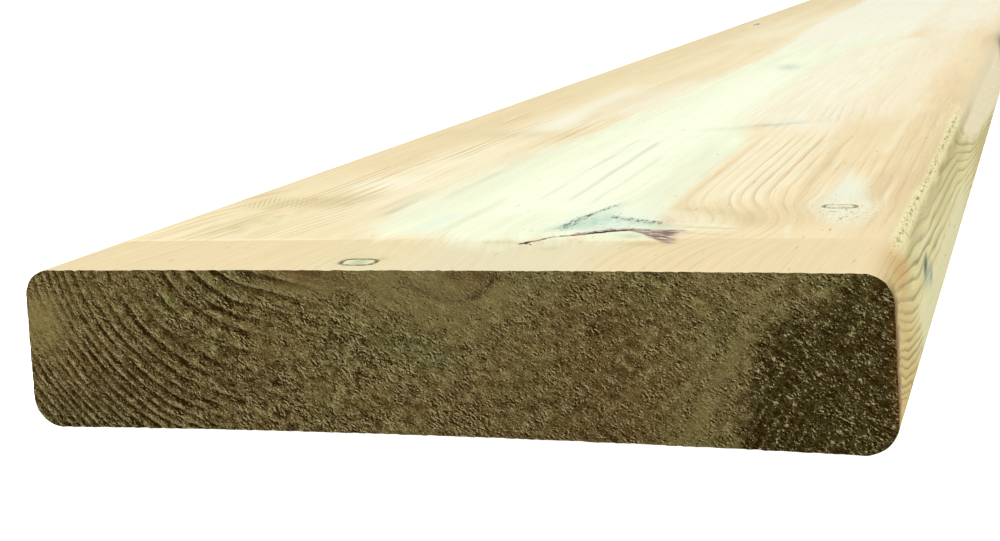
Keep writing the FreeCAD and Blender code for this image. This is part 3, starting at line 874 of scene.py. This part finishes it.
def picture_map(points, w, corner_vertex, corner_face, face_middle_w, face_is_cap, face_s):
    """Picture place of each face corner. On a long face, u is a piecewise straight function of s and v one of w
    within its strip. On a sawn end, u and v are x and z scaled into that end's box."""
    x, s, z = points[corner_vertex].T
    cap = face_is_cap[corner_face]
    near = face_s[corner_face] < LENGTH / 2
    uv = np.empty((len(corner_vertex), 2))
    uv[:, 0] = np.interp(s, *zip(*U_KNOTS))
    here_w = w[corner_vertex]
    middle = face_middle_w[corner_face]
    here_w = here_w + GIRTH * np.round((middle - here_w) / GIRTH)
    for start, end, low, high in STRIPS:
        for turn in (0, GIRTH, -GIRTH):
            inside = (middle + turn >= start) & (middle + turn < end)
            uv[inside, 1] = low + (here_w[inside] + turn - start) / (end - start) * (high - low)
    for which, box in ((cap & near, END_BOX), (cap & ~near, BACK_BOX)):
        uv[which, 0] = box[0] + (x[which] + HALF) / WIDTH * (box[2] - box[0])
        uv[which, 1] = box[1] + z[which] / THICK * (box[3] - box[1])
    return uv


def build_board(shape, colours):
    """Makes the mesh from the surface, with its attributes, its picture map and crisp sawn edges."""
    moved, points, w, quads, triangles, sawn, fields, rims = board_surface(shape, colours)
    quads, triangles = np.concatenate(quads), np.concatenate(triangles)
    is_cap = np.concatenate([np.concatenate(sawn), np.zeros(len(triangles), bool)])
    metres = moved * MM
    metres[:, 1] += LOW[1] * MM
    mesh = bpy.data.meshes.new(PIECE)
    mesh.from_pydata(metres, [], quads.tolist() + triangles.tolist())
    mesh.polygons.foreach_set("material_index", is_cap.astype(np.int32))
    mesh.shade_smooth()

    for name, values in fields.items():
        kind, slot = ("FLOAT", "value") if values.ndim == 1 else ("FLOAT_COLOR", "color")
        if name.endswith("_place"):
            kind, slot = "FLOAT_VECTOR", "vector"
        if kind == "FLOAT_COLOR":
            values = np.concatenate([values, np.ones((len(values), 1))], axis=1)
        layer = mesh.attributes.new(name, kind, "POINT")
        layer.data.foreach_set(slot, values.ravel().astype(np.float32))

    on_rim = np.zeros(len(points), int)
    for number, rim in enumerate(rims, start=1):
        on_rim[rim] = number
    ends = np.empty(2 * len(mesh.edges), np.int32)
    mesh.edges.foreach_get("vertices", ends)
    first, second = on_rim[ends.reshape(-1, 2)].T
    crisp = mesh.attributes.new("sharp_edge", "BOOLEAN", "EDGE")
    crisp.data.foreach_set("value", (first > 0) & (first == second))

    corner_vertex = np.empty(len(mesh.loops), np.int32)
    mesh.loops.foreach_get("vertex_index", corner_vertex)
    sizes = np.concatenate([np.full(len(quads), 4), np.full(len(triangles), 3)])
    corner_face = np.repeat(np.arange(len(sizes)), sizes)
    turn = w * 2 * np.pi / GIRTH
    total = np.stack([np.bincount(corner_face, f(turn)[corner_vertex]) for f in (np.sin, np.cos)])
    middle_w = np.arctan2(*total) % (2 * np.pi) / (2 * np.pi) * GIRTH
    face_s = np.bincount(corner_face, points[corner_vertex, 1]) / sizes
    uv = picture_map(points, w, corner_vertex, corner_face, middle_w, is_cap, face_s)
    layer = mesh.uv_layers.new(name="OFBake")
    layer.data.foreach_set("uv", uv.ravel().astype(np.float32))

    mesh.validate()
    board = bpy.data.objects.new(PIECE, mesh)
    bpy.context.scene.collection.objects.link(board)
    return board


def add(tree, kind, inputs=None, **settings):
    """Adds one node. settings are its properties. inputs maps socket names or numbers to values, or to what
    feeds them: a node, taken at its first output, or an output socket."""
    node = tree.nodes.new(kind)
    for name, value in settings.items():
        setattr(node, name, value)
    for key, value in (inputs or {}).items():
        socket = node.inputs[key]
        if isinstance(value, bpy.types.Node):
            tree.links.new(value.outputs[0], socket)
        elif isinstance(value, bpy.types.NodeSocket):
            tree.links.new(value, socket)
        else:
            socket.default_value = value
    return node


def per_mm(*sizes):
    """Mapping scale that makes one unit of a pattern this many millimetres along each axis."""
    return tuple(1 / (size * MM) for size in sizes)


def new_material(name):
    """An empty node material with its output."""
    material = bpy.data.materials.new(name)
    material.use_nodes = True
    material.node_tree.nodes.clear()
    return material, material.node_tree, add(material.node_tree, "ShaderNodeOutputMaterial")


def grain(tree, place, sizes, detail=3.0, roughness=0.6):
    """Noise drawn out to these sizes in mm along the board's axes, or along the axes of the place given."""
    stretched = add(tree, "ShaderNodeMapping", {"Vector": place, "Scale": per_mm(*sizes)})
    noise_inputs = {"Vector": stretched, "Scale": 1.0, "Detail": detail, "Roughness": roughness}
    return add(tree, "ShaderNodeTexNoise", noise_inputs)


def level(tree, value, start, end, low=0.0, high=1.0):
    """The value's span from start to end as low to high, held beyond both."""
    span = {"Value": value, "From Min": start, "From Max": end, "To Min": low, "To Max": high}
    return add(tree, "ShaderNodeMapRange", span)


def sum_of(tree, value, factor, more):
    """value times factor plus more."""
    return add(tree, "ShaderNodeMath", {0: value, 1: factor, 2: more}, operation="MULTIPLY_ADD")


def product(tree, one, other):
    """One value times another."""
    return add(tree, "ShaderNodeMath", {0: one, 1: other}, operation="MULTIPLY")


def blend(tree, share, colour, other):
    """The colour moved towards the other by the share."""
    other = other if isinstance(other, bpy.types.NodeSocket) else (*other, 1)
    mixed = add(tree, "ShaderNodeMix", {"Factor": share, 6: colour, 7: other}, data_type="RGBA")
    return mixed.outputs[2]


def planed_material(colours):
    """Planed, copper treated softwood. Pale earlywood and darker latewood lines that follow the grain, fine fibre
    streaks, stains and the green white field with feathered edges, short resin ticks, and a satin surface that
    the planer left."""
    material, tree, out = new_material("treated_planed_softwood")
    place = add(tree, "ShaderNodeTexCoord").outputs["Object"]
    in_grain = add(tree, "ShaderNodeAttribute", attribute_name="grain_place").outputs["Vector"]
    names = ("ring_strength", "field", "spindle", "stain", "bark_out", "bark_in", "core_width", "fan", "knot_reach", "knot_dark", "specks", "chatter")
    read = {name: add(tree, "ShaderNodeAttribute", attribute_name=name).outputs["Fac"] for name in names}
    tints = ("earlywood", "latewood", "field_tint", "stain_tint")
    tint = {name: add(tree, "ShaderNodeAttribute", attribute_name=name).outputs["Color"] for name in tints}

    # Fibre: streaks a third of a millimetre wide and some centimetres long, and broader bands under them.
    fibre = grain(tree, in_grain, (0.42, 24, 1)).outputs[0]
    bands = grain(tree, in_grain, (2.4, 90, 1), 2.0, 0.5).outputs[0]
    feather = add(tree, "ShaderNodeMath", {0: grain(tree, in_grain, (1.3, 18, 1), 4.0), 1: 0.5}, operation="SUBTRACT")

    # The field in the middle and the long patch by the second knot end in feathers along the grain.
    field = level(tree, sum_of(tree, feather, 1.3, read["field"]), 0.12, 0.88)
    wood = blend(tree, field, tint["earlywood"], tint["field_tint"])
    spindle = level(tree, sum_of(tree, feather, 1.0, read["spindle"]), 0.12, 0.90, 0, 0.75)
    wood = blend(tree, product(tree, spindle, level(tree, read["spindle"], 0, 0.1)), wood, colours.spindle)

    # Latewood: each ring darkens slowly up to its end, where the ring number's fraction nears 1, and stops.
    rings = add(tree, "ShaderNodeSeparateXYZ", {"Vector": in_grain}).outputs["X"]
    ragged = sum_of(tree, fibre, 0.30, product(tree, rings, 1 / (RING * MM)))
    fraction = add(tree, "ShaderNodeMath", {0: ragged}, operation="FRACT")
    late = add(tree, "ShaderNodeValToRGB", {"Fac": fraction})
    stops = late.color_ramp.elements
    stops[0].position, stops[0].color = 0.34, (0, 0, 0, 1)
    stops[1].position, stops[1].color = 0.80, (1, 1, 1, 1)
    for position, value in ((0.60, 0.25), (0.92, 1.0), (1.0, 0.0)):
        late.color_ramp.elements.new(position).color = (value, value, value, 1)
    uneven = level(tree, bands, 0.33, 0.67, 0.30, 1.20)
    shown = product(tree, product(tree, late, read["ring_strength"]), uneven)
    wood = blend(tree, shown, wood, tint["latewood"])
    swing = sum_of(tree, read["ring_strength"], 0.70, 0.16)
    lift = sum_of(tree, add(tree, "ShaderNodeMath", {0: fibre, 1: 0.5}, operation="SUBTRACT"), swing, 0.995)
    lift = product(tree, lift, level(tree, bands, 0.3, 0.7, 0.97, 1.015))
    wood = add(tree, "ShaderNodeVectorMath", {0: wood, "Scale": lift}, operation="SCALE").outputs[0]

    # Chatter: slanting strokes a millimetre apart where the planer's knives jumped.
    slant = add(tree, "ShaderNodeVectorMath", {0: place, 1: (6000, 2600, 0)}, operation="DOT_PRODUCT").outputs["Value"]
    strokes = level(tree, add(tree, "ShaderNodeMath", {0: slant}, operation="SINE"), -0.6, 1, 0, 0.8)
    wood = blend(tree, product(tree, strokes, product(tree, read["chatter"], level(tree, bands, 0.3, 0.6))), wood, colours.olive_wash_and_shade)

    # Stains lie over the grain in small blots.
    blots = grain(tree, place, (0.9, 2.0, 1.1), 4.0, 0.7)
    stain = product(tree, read["stain"], level(tree, blots, 0.32, 0.68, 0.45, 1.25))
    stain = add(tree, "ShaderNodeMath", {0: stain, 1: 1.0}, operation="MINIMUM")
    wood = blend(tree, stain, wood, tint["stain_tint"])

    # Resin ticks: sparse short dashes, and specks where the surface is torn or stained.
    tick = level(tree, grain(tree, place, (0.55, 5.0, 0.55), 1.0, 0.4), 0.735, 0.79, 0, 0.4)
    dots = level(tree, grain(tree, place, (0.55, 1.3, 0.55), 2.0), 0.57, 0.67, 0, 0.6)
    strokes = level(tree, grain(tree, place, (0.50, 3.0, 0.45), 2.0), 0.50, 0.58, 0, 0.95)
    strokes = product(tree, strokes, level(tree, read["specks"], 1.25, 1.9))
    marks = add(tree, "ShaderNodeMath", {0: tick, 1: product(tree, dots, read["specks"])}, operation="MAXIMUM")
    marks = add(tree, "ShaderNodeMath", {0: marks, 1: strokes}, operation="MAXIMUM")
    mark_tint = blend(tree, read["stain"], (*colours.tick, 1), colours.teal_dark)
    wood = blend(tree, marks, wood, mark_tint)

    # Bark: mauve and brown strands along its arch with wood between them, round a dark core.
    in_bark = add(tree, "ShaderNodeAttribute", attribute_name="bark_place").outputs["Vector"]
    torn = add(tree, "ShaderNodeMath", {0: grain(tree, place, (0.9, 0.9, 0.7), 3.0, 0.65), 1: 0.5}, operation="SUBTRACT")
    strands = grain(tree, in_bark, (3.4, 0.85, 1), 3.0, 0.65)
    away = product(tree, add(tree, "ShaderNodeSeparateXYZ", {"Vector": in_bark}).outputs["Y"], 1 / MM)
    away = sum_of(tree, torn, 2.6, away)
    outer = add(tree, "ShaderNodeMath", {0: away, 1: read["bark_out"]}, operation="SUBTRACT")
    inner = add(tree, "ShaderNodeMath", {0: away, 1: read["bark_in"]})
    bark = product(tree, level(tree, outer, -0.5, 0.3, 1, 0), level(tree, inner, -0.3, 0.3))
    wood = blend(tree, product(tree, bark, level(tree, strands, 0.42, 0.56, 0.0, 0.85)), wood, colours.bark_mauve)
    fine = grain(tree, in_bark, (2.4, 0.5, 1), 2.0, 0.6)
    wood = blend(tree, product(tree, bark, level(tree, fine, 0.50, 0.57, 0, 0.95)), wood, colours.bark_brown)
    in_fan = add(tree, "ShaderNodeAttribute", attribute_name="fan_place").outputs["Vector"]
    hairs = grain(tree, in_fan, (4.0, 0.75, 1), 3.0, 0.7)
    wood = blend(tree, product(tree, read["fan"], level(tree, hairs, 0.38, 0.46, 0.15, 0.90)), wood, colours.bark_mauve)
    wood = blend(tree, product(tree, read["fan"], level(tree, hairs, 0.46, 0.54, 0, 0.85)), wood, colours.bark_brown)
    wide = add(tree, "ShaderNodeMath", {0: add(tree, "ShaderNodeMath", {0: away}, operation="ABSOLUTE"), 1: read["core_width"]}, operation="SUBTRACT")
    core = level(tree, wide, -0.15, 0.18, 1, 0)
    wood = blend(tree, core, wood, colours.bark)
    # Knot rings: dark and ragged, where the reach is 1.
    off_ring = add(tree, "ShaderNodeMath", {0: sum_of(tree, torn, 0.24, read["knot_reach"]), 1: 1.0}, operation="SUBTRACT")
    off_ring = add(tree, "ShaderNodeMath", {0: off_ring}, operation="ABSOLUTE")
    ring = product(tree, level(tree, off_ring, 0.07, 0.20, 1, 0), read["knot_dark"])
    ring = product(tree, ring, level(tree, torn, -0.14, 0.06, 0.40, 1.0))
    wood = blend(tree, ring, wood, colours.knot_ring)

    # Surface: raised latewood and fibre, duller where there is bark.
    height = sum_of(tree, fibre, 0.6, shown)
    bump = add(tree, "ShaderNodeBump", {"Height": height, "Strength": 0.35, "Distance": 0.00012})
    dull = add(tree, "ShaderNodeMath", {0: core, 1: ring}, operation="MAXIMUM")
    surface = add(
        tree,
        "ShaderNodeBsdfPrincipled",
        {
            "Base Color": wood,
            "Roughness": level(tree, dull, 0, 1, 0.6, 0.9),
            "Normal": bump,
            "IOR": 1.5,
            "Specular IOR Level": 0.05,
        },
    )
    tree.links.new(surface.outputs[0], out.inputs["Surface"])
    return material


def sawn_material(colours):
    """Sawn end grain, soaked dark by the treatment. On the ridged third the saw left each ring's hard latewood
    standing and tore scallops out of the soft wood outside it. Elsewhere it pulled fibre bundles out and left
    small leaning pits under flakes, and the right quarter is all crumbs. One tone, below 0 in the pits and above 0
    on what stands proud, moves the end's own tint towards a dark brown, painted shade in the pits, and towards a
    buff, painted highlight on the flakes and ridges; random grit moves it both ways too."""
    material, tree, out = new_material("sawn_softwood_end_grain")
    place = add(tree, "ShaderNodeTexCoord").outputs["Object"]
    names = ("torn", "coarse", "banded", "ring_count", "ring_width")
    read = {name: add(tree, "ShaderNodeAttribute", attribute_name=name).outputs["Fac"] for name in names}
    tint = add(tree, "ShaderNodeAttribute", attribute_name="end_tint").outputs["Color"]
    round_rings = add(tree, "ShaderNodeAttribute", attribute_name="saw_place").outputs["Vector"]

    # Scallops: teeth under half a millimetre wide that hang off the outer side of each ridge. The ring is
    # darkest there, painted shade on the ridge's steep outer side, rises to its own tint, and ends in the next
    # light ridge, half a millimetre wide, a painted highlight on its crest.
    scallops = grain(tree, round_rings, (0.46, 0.9, 1), 3.0, 0.7)
    teeth = add(tree, "ShaderNodeMath", {0: scallops, 1: 0.5}, operation="SUBTRACT")
    phase = add(tree, "ShaderNodeMath", {0: sum_of(tree, teeth, 0.30, read["ring_count"])}, operation="FRACT")
    after = product(tree, phase, read["ring_width"])
    before = add(tree, "ShaderNodeMath", {0: read["ring_width"], 1: after}, operation="SUBTRACT")
    reach = sum_of(tree, teeth, 3.2, sum_of(tree, read["ring_width"], 0.30, 0.36))
    scallop = level(tree, add(tree, "ShaderNodeMath", {0: reach, 1: after}, operation="SUBTRACT"), 0.0, 0.36, 0, -0.95)
    ridge = level(tree, before, 0.66, 0.36, 0, 0.50)
    worn = level(tree, grain(tree, round_rings, (4.0, 2.2, 1), 3.0, 0.6), 0.38, 0.62, 0.55, 1.15)
    rings = product(tree, add(tree, "ShaderNodeMath", {0: scallop, 1: ridge}), worn)

    # Torn fibre: grit and bright specks all over, pits with a light flake above each, and crumbs. The pits are
    # darkened as painted shade, and each flake is the same noise moved up a little, a painted highlight on the lip
    # above its pit. The pits lean down to the right, and lie closer in rows that follow the rings.
    turned = add(tree, "ShaderNodeMapping", {"Vector": place, "Rotation": (0, math.radians(-33), 0)})
    above = add(tree, "ShaderNodeMapping", {"Vector": turned, "Location": (-0.05 * MM, 0, -0.17 * MM)})
    pull = add(tree, "ShaderNodeAttribute", attribute_name="pull_place").outputs["Vector"]
    rows = grain(tree, pull, (2.4, 0.7, 1), 2.0, 0.6)
    grit = level(tree, grain(tree, turned, (0.32, 0.8, 0.20), 2.0, 0.8), 0.25, 0.75, -1.2, 1.2)
    pulled = sum_of(tree, rows, 0.8, grain(tree, turned, (0.66, 1.2, 0.40), 2.0, 0.65))
    shifted = sum_of(tree, rows, 0.8, grain(tree, above, (0.66, 1.2, 0.40), 2.0, 0.65))
    pit = level(tree, pulled, 0.93, 1.03, 0, -1.45)
    flake = level(tree, shifted, 0.93, 1.04, 0, 1.15)
    clumps = level(tree, grain(tree, pull, (3.0, 1.8, 1), 3.0, 0.6), 0.40, 0.62, 0.40, 1.30)
    fibre = product(tree, add(tree, "ShaderNodeMath", {0: pit, 1: flake}), product(tree, read["torn"], clumps))
    specks = level(tree, grain(tree, turned, (0.36, 0.8, 0.24), 1.0, 0.5), 0.64, 0.74, 0, 0.9)
    crumbs = product(tree, level(tree, grain(tree, turned, (0.95, 1.3, 0.62), 3.5, 0.65), 0.54, 0.66), clumps)
    crumbs = sum_of(tree, crumbs, 1.35, -0.34)

    clods = level(tree, grain(tree, turned, (2.0, 2.4, 1.1), 3.0, 0.7), 0.32, 0.68, -0.55, 0.45)
    tone = sum_of(tree, rings, read["banded"], fibre)
    tone = sum_of(tree, clods, read["torn"], tone)
    tone = sum_of(tree, read["torn"], -0.16, tone)
    tone = sum_of(tree, specks, read["torn"], tone)
    tone = sum_of(tree, crumbs, read["coarse"], tone)
    tone = sum_of(tree, grit, level(tree, read["torn"], 0.1, 0.8, 0.28, 0.62), tone)
    drift = level(tree, grain(tree, place, (4.2, 5, 4.2), 4.0, 0.7), 0.3, 0.7, 0.74, 1.22)
    colour = add(tree, "ShaderNodeVectorMath", {0: tint, "Scale": drift}, operation="SCALE").outputs[0]
    # Painted light: a tone above 0 moves the tint towards the highlight buff, and below 0 towards the shade brown.
    colour = blend(tree, level(tree, tone, 0, 1), colour, colours.end_flake_and_highlight)
    colour = blend(tree, level(tree, tone, 0, -1), colour, colours.end_gap_and_shade)

    bump = add(tree, "ShaderNodeBump", {"Height": tone, "Strength": 0.5, "Distance": 0.00014})
    surface = add(
        tree,
        "ShaderNodeBsdfPrincipled",
        {"Base Color": colour, "Roughness": 0.9, "Normal": bump, "IOR": 1.45, "Specular IOR Level": 0.05},
    )
    tree.links.new(surface.outputs[0], out.inputs["Surface"])
    return material


# The photograph's view, fitted to the board's edges: the picture's width, its focal length and the shift of its
# middle in pixels, right and up, the camera's place in mm from the middle of the underside's front edge, and
# its turn as a rotation vector.
PHOTO_WIDTH = 1000
FOCAL_PIXELS = 1598.477
MIDDLE_SHIFT = (-73.099, -247.097)
CAMERA_PLACE = (95.676, -227.068, 76.128)
CAMERA_TURN = (-0.058823, 0.051019, 0.292952)
SENSOR = 36.0


def build_camera():
    """The camera looks along +Y before its turn, with its up along +Z."""
    data = bpy.data.cameras.new("photo_view")
    data.sensor_width = SENSOR
    data.lens = FOCAL_PIXELS * SENSOR / PHOTO_WIDTH
    data.shift_x, data.shift_y = (shift / PHOTO_WIDTH for shift in MIDDLE_SHIFT)
    data.clip_start, data.clip_end = 0.01, 50
    camera = bpy.data.objects.new("photo_view", data)
    turn = Vector(CAMERA_TURN)
    spin = Matrix.Rotation(turn.length, 3, turn.normalized())
    axes = Matrix((spin.col[0], spin.col[2], -spin.col[1])).transposed()
    camera.matrix_world = Matrix.Translation(
        (CAMERA_PLACE[0] * MM, (LOW[1] + CAMERA_PLACE[1]) * MM, CAMERA_PLACE[2] * MM)
    ) @ axes.to_4x4()
    bpy.context.scene.collection.objects.link(camera)
    bpy.context.scene.camera = camera
    return camera


def floor_material():
    """Matt white studio paper. The camera sees it lifted to white, and it keeps a soft shadow."""
    material, tree, out = new_material("matt_white_paper")
    paper = add(tree, "ShaderNodeBsdfDiffuse", {"Color": (*linear("F2F2F2"), 1)})
    path = add(tree, "ShaderNodeLightPath")
    seen = add(tree, "ShaderNodeMath", {0: path.outputs["Is Camera Ray"], 1: path.outputs["Is Glossy Ray"]}, operation="MAXIMUM")
    lift = add(tree, "ShaderNodeEmission", {"Color": (1, 1, 1, 1), "Strength": seen})
    both = add(tree, "ShaderNodeAddShader", {0: paper, 1: lift})
    tree.links.new(both.outputs[0], out.inputs["Surface"])
    return material


def build_stage(settings):
    """White paper to the horizon, a white surround, a large soft lamp overhead and a weaker one in front."""
    scene = bpy.context.scene
    scene.view_settings.view_transform = "Standard"
    side = 30.0
    mesh = bpy.data.meshes.new("studio_floor")
    mesh.from_pydata([(-side, -side, 0), (side, -side, 0), (side, side, 0), (-side, side, 0)], [], [(0, 1, 2, 3)])
    mesh.materials.append(floor_material())
    floor = bpy.data.objects.new("studio_floor", mesh)
    scene.collection.objects.link(floor)

    world = bpy.data.worlds.new("studio_surround")
    world.use_nodes = True
    tree = world.node_tree
    tree.nodes.clear()
    path = add(tree, "ShaderNodeLightPath")
    fill = add(tree, "ShaderNodeMix", {"Factor": path.outputs["Is Camera Ray"], "A": settings.surround, "B": 1.0})
    shade = add(tree, "ShaderNodeBackground", {"Color": (1, 1, 1, 1), "Strength": fill})
    add(tree, "ShaderNodeOutputWorld", {"Surface": shade})
    scene.world = world

    middle = Vector((0, LOW[1] * MM, 0))
    lamps = (
        ("overhead_softbox", Vector((-0.9, -1.1, 5.0)), 4.1, settings.overhead),
        ("front_softbox", Vector((-0.9, -2.0, 1.1)), 1.2, settings.front),
        ("side_softbox", Vector((2.0, 0.1, 1.2)), 1.5, settings.side),
    )
    for name, offset, size, power in lamps:
        data = bpy.data.lights.new(name, "AREA")
        data.shape, data.size, data.energy = "SQUARE", size, power
        lamp = bpy.data.objects.new(name, data)
        lamp.location = middle + offset
        lamp.rotation_euler = (-offset).to_track_quat("-Z", "Y").to_euler()
        scene.collection.objects.link(lamp)


def tint_property(name, hex_code, description):
    """A colour setting whose default is an sRGB hex value."""
    return FloatVectorProperty(
        name=name, description=description, subtype="COLOR", size=3, min=0, max=1, default=linear(hex_code)
    )


class BoardShape(bpy.types.PropertyGroup):
    """How far the dried board has moved from its planed section."""

    crown: FloatProperty(name="Crown", description="How far the top's long edges sink, in mm", default=0.26, min=0)
    hollow: FloatProperty(name="Hollow", description="How far the underside's middle rises, in mm", default=0.82, min=0)
    lean: FloatProperty(name="Edge Lean", description="How far each edge leans in at its foot, in mm", default=0.15, min=0)


class BoardColours(bpy.types.PropertyGroup):
    """The tints of the treated timber."""

    beige: tint_property("Beige", "F9ECC4", "The top's wood where it runs down over the right edge")
    sapwood: tint_property("Sapwood", "F5E5BC", "Warm pale sapwood at the left of the top face")
    cream: tint_property("Cream", "F8F2D2", "Palest streaks and torn fibres")
    pale: tint_property("Pale", "F8F5DE", "Pale wood further along")
    mint: tint_property("Mint", "F8FCDF", "Green white wood where the treatment is lightest")
    mint_grey: tint_property("Grey Mint", "E8ECCE", "Duller part of the green white wood")
    mint_shade: tint_property("Mint Shade", "ECF1D0", "The same wood between its palest streaks")
    blush: tint_property("Blush", "F1DEB5", "Pinkish wood at the right of the top face")
    tan_pink: tint_property("Tan Pink", "E3CCA0", "Browner wood by the right arris")
    dull: tint_property("Dull", "E8D5A9", "Slightly darker, duller wood")
    ice: tint_property("Ice", "E3F1E0", "Thin pale blue stain")
    teal: tint_property("Teal", "A8CFBC", "Copper stain behind the bark")
    teal_pale: tint_property("Pale Teal", "D0E6D3", "Thin copper stain")
    spindle: tint_property("Spindle", "EFEDD4", "Pale wood round the second knot")
    teal_dark: tint_property("Dark Teal", "4E6E66", "Dark splinters in the copper stain")
    stone: tint_property("Stone", "E4DCB8", "Grey green cast over the strip by the end")
    sage: tint_property("Sage", "B9C3A0", "Grey green lines")
    sage_dark: tint_property("Sage Dark", "7D9A90", "Dark splinters in the copper stain")
    slate: tint_property("Slate", "93A6A4", "Blue grey bruise")
    slate_pale: tint_property("Slate Pale", "BECAA6", "Halo of the edge stain")
    slate_dark: tint_property("Slate Dark", "3F482E", "Core of the edge stain")
    # Olive wash and shade: thin olive marks in the grain, and also painted shade on the left face.
    olive_wash_and_shade: tint_property("Olive Wash", "CDBD86", "Thin olive shadow in the grain")
    mint_light: tint_property("Light Mint", "FAFEE4", "Palest middle of the green white wood")
    heart: tint_property("Knot Heart", "C3CCA4", "Grey green heart of a small knot")
    heart_pale: tint_property("Pale Knot Heart", "ECE2C0", "Pinkish heart of a small knot")
    heart_dark: tint_property("Dark Knot Heart", "8A6E48", "Brown heart of a large knot")
    latewood: tint_property("Latewood", "C6A671", "Latewood lines on the faces")
    olive: tint_property("Olive", "8E7838", "Latewood lines on the edges")
    edge: tint_property("Edge", "E6DC9A", "Wood of the right edge")
    edge_pale: tint_property("Edge Pale", "EFE8B6", "Smooth strip low on the right edge")
    edge_dark: tint_property("Edge Dark", "CDBE78", "Olive wood low on the edge further along")
    tan: tint_property("Tan", "D9BE76", "Right edge close to the end")
    yellow: tint_property("Yellow", "FAF0B8", "Torn strip on the right arris")
    orange: tint_property("Orange", "E0AA68", "Resin tint on the arris by the end")
    tick: tint_property("Tick", "6A6650", "Short resin ticks and specks")
    bark_mauve: tint_property("Bark Mauve", "B79C98", "Thin bark, mauve against the pale wood")
    bark: tint_property("Bark", "3E2E2C", "Dark core of the bark")
    bark_brown: tint_property("Bark Brown", "6E5546", "Brown strands of the bark")
    knot_ring: tint_property("Knot Ring", "5E5036", "Dark ring round a knot")
    end_grain: tint_property("End Grain", "77673D", "Sawn end, middle tone")
    end_green: tint_property("End Green", "6E673B", "Sawn end, green cast")
    end_moss: tint_property("End Moss", "6C6D44", "Sawn end, greener patches")
    end_light: tint_property("End Light", "7C7044", "Sawn end, smooth light patches")
    end_brown: tint_property("End Brown", "67522D", "Sawn end, brown patches")
    end_pale: tint_property("End Pale", "8A7A4A", "Sawn end, pale patch at the left")
    end_shade: tint_property("End Shade", "4C4224", "Sawn end, dark arcs round the pith")
    end_dark: tint_property("End Dark", "4D4623", "Sawn end, dark right quarter")
    # The next two tints are painted shade in the end's gaps and painted highlight on its proud fibre ends, mixed with
    # random grit.
    end_gap_and_shade: tint_property("End Gap", "281700", "Gaps between torn fibres")
    end_flake_and_highlight: tint_property("End Flake", "B2A67A", "Fibre ends that stand proud")
    moss: tint_property("Moss", "7F8240", "Bright green spots on the sawn end")
    soaked: tint_property("Soaked", "523200", "Wood of the right edge that soaked from the end")
    rust: tint_property("Rust", "6E4418", "Rusty rim of the sawn end")


class StageLight(bpy.types.PropertyGroup):
    """Strengths of the studio light."""

    surround: FloatProperty(name="Surround", description="Strength of the white surround", default=0.52, min=0)
    overhead: FloatProperty(name="Overhead", description="Overhead softbox", default=160, min=0, unit="POWER")
    front: FloatProperty(name="Front", description="Front softbox", default=11, min=0, unit="POWER")
    side: FloatProperty(name="Side", description="Weak softbox at the right", default=4, min=0, unit="POWER")


class DECKING_OT_board(bpy.types.Operator):
    """Build the planed board with its sawn ends"""

    bl_idname = "decking.board"
    bl_label = "Decking Board"

    def execute(self, context):
        colours = context.scene.board_colours
        board = build_board(context.scene.board_shape, colours)
        board.data.materials.append(planed_material(colours))
        board.data.materials.append(sawn_material(colours))
        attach(board, "root")
        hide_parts(NODE)
        return {"FINISHED"}


class DECKING_OT_stage(bpy.types.Operator):
    """Set up the floor, the light and the camera"""

    bl_idname = "decking.stage"
    bl_label = "Studio and Camera"

    def execute(self, context):
        build_stage(context.scene.stage_light)
        build_camera()
        return {"FINISHED"}


class DECKING_PT_sidebar(bpy.types.Panel):
    """Lists the board's operators and settings"""

    bl_label = "Decking Board"
    bl_space_type = "VIEW_3D"
    bl_region_type = "UI"
    bl_category = "Decking"

    def draw(self, context):
        for operator in (DECKING_OT_board, DECKING_OT_stage):
            self.layout.operator(operator.bl_idname)
        for group in (context.scene.board_shape, context.scene.board_colours, context.scene.stage_light):
            box = self.layout.box()
            for name in group.__annotations__:
                box.prop(group, name)


CLASSES = (BoardShape, BoardColours, StageLight, DECKING_OT_board, DECKING_OT_stage, DECKING_PT_sidebar)


def register():
    for each in CLASSES:
        bpy.utils.register_class(each)
    bpy.types.Scene.board_shape = PointerProperty(type=BoardShape)
    bpy.types.Scene.board_colours = PointerProperty(type=BoardColours)
    bpy.types.Scene.stage_light = PointerProperty(type=StageLight)


def unregister():
    del bpy.types.Scene.stage_light
    del bpy.types.Scene.board_colours
    del bpy.types.Scene.board_shape
    for each in reversed(CLASSES):
        bpy.utils.unregister_class(each)


def main():
    register()
    bpy.ops.decking.board()
    bpy.ops.decking.stage()


if __name__ == "__main__":
    main()
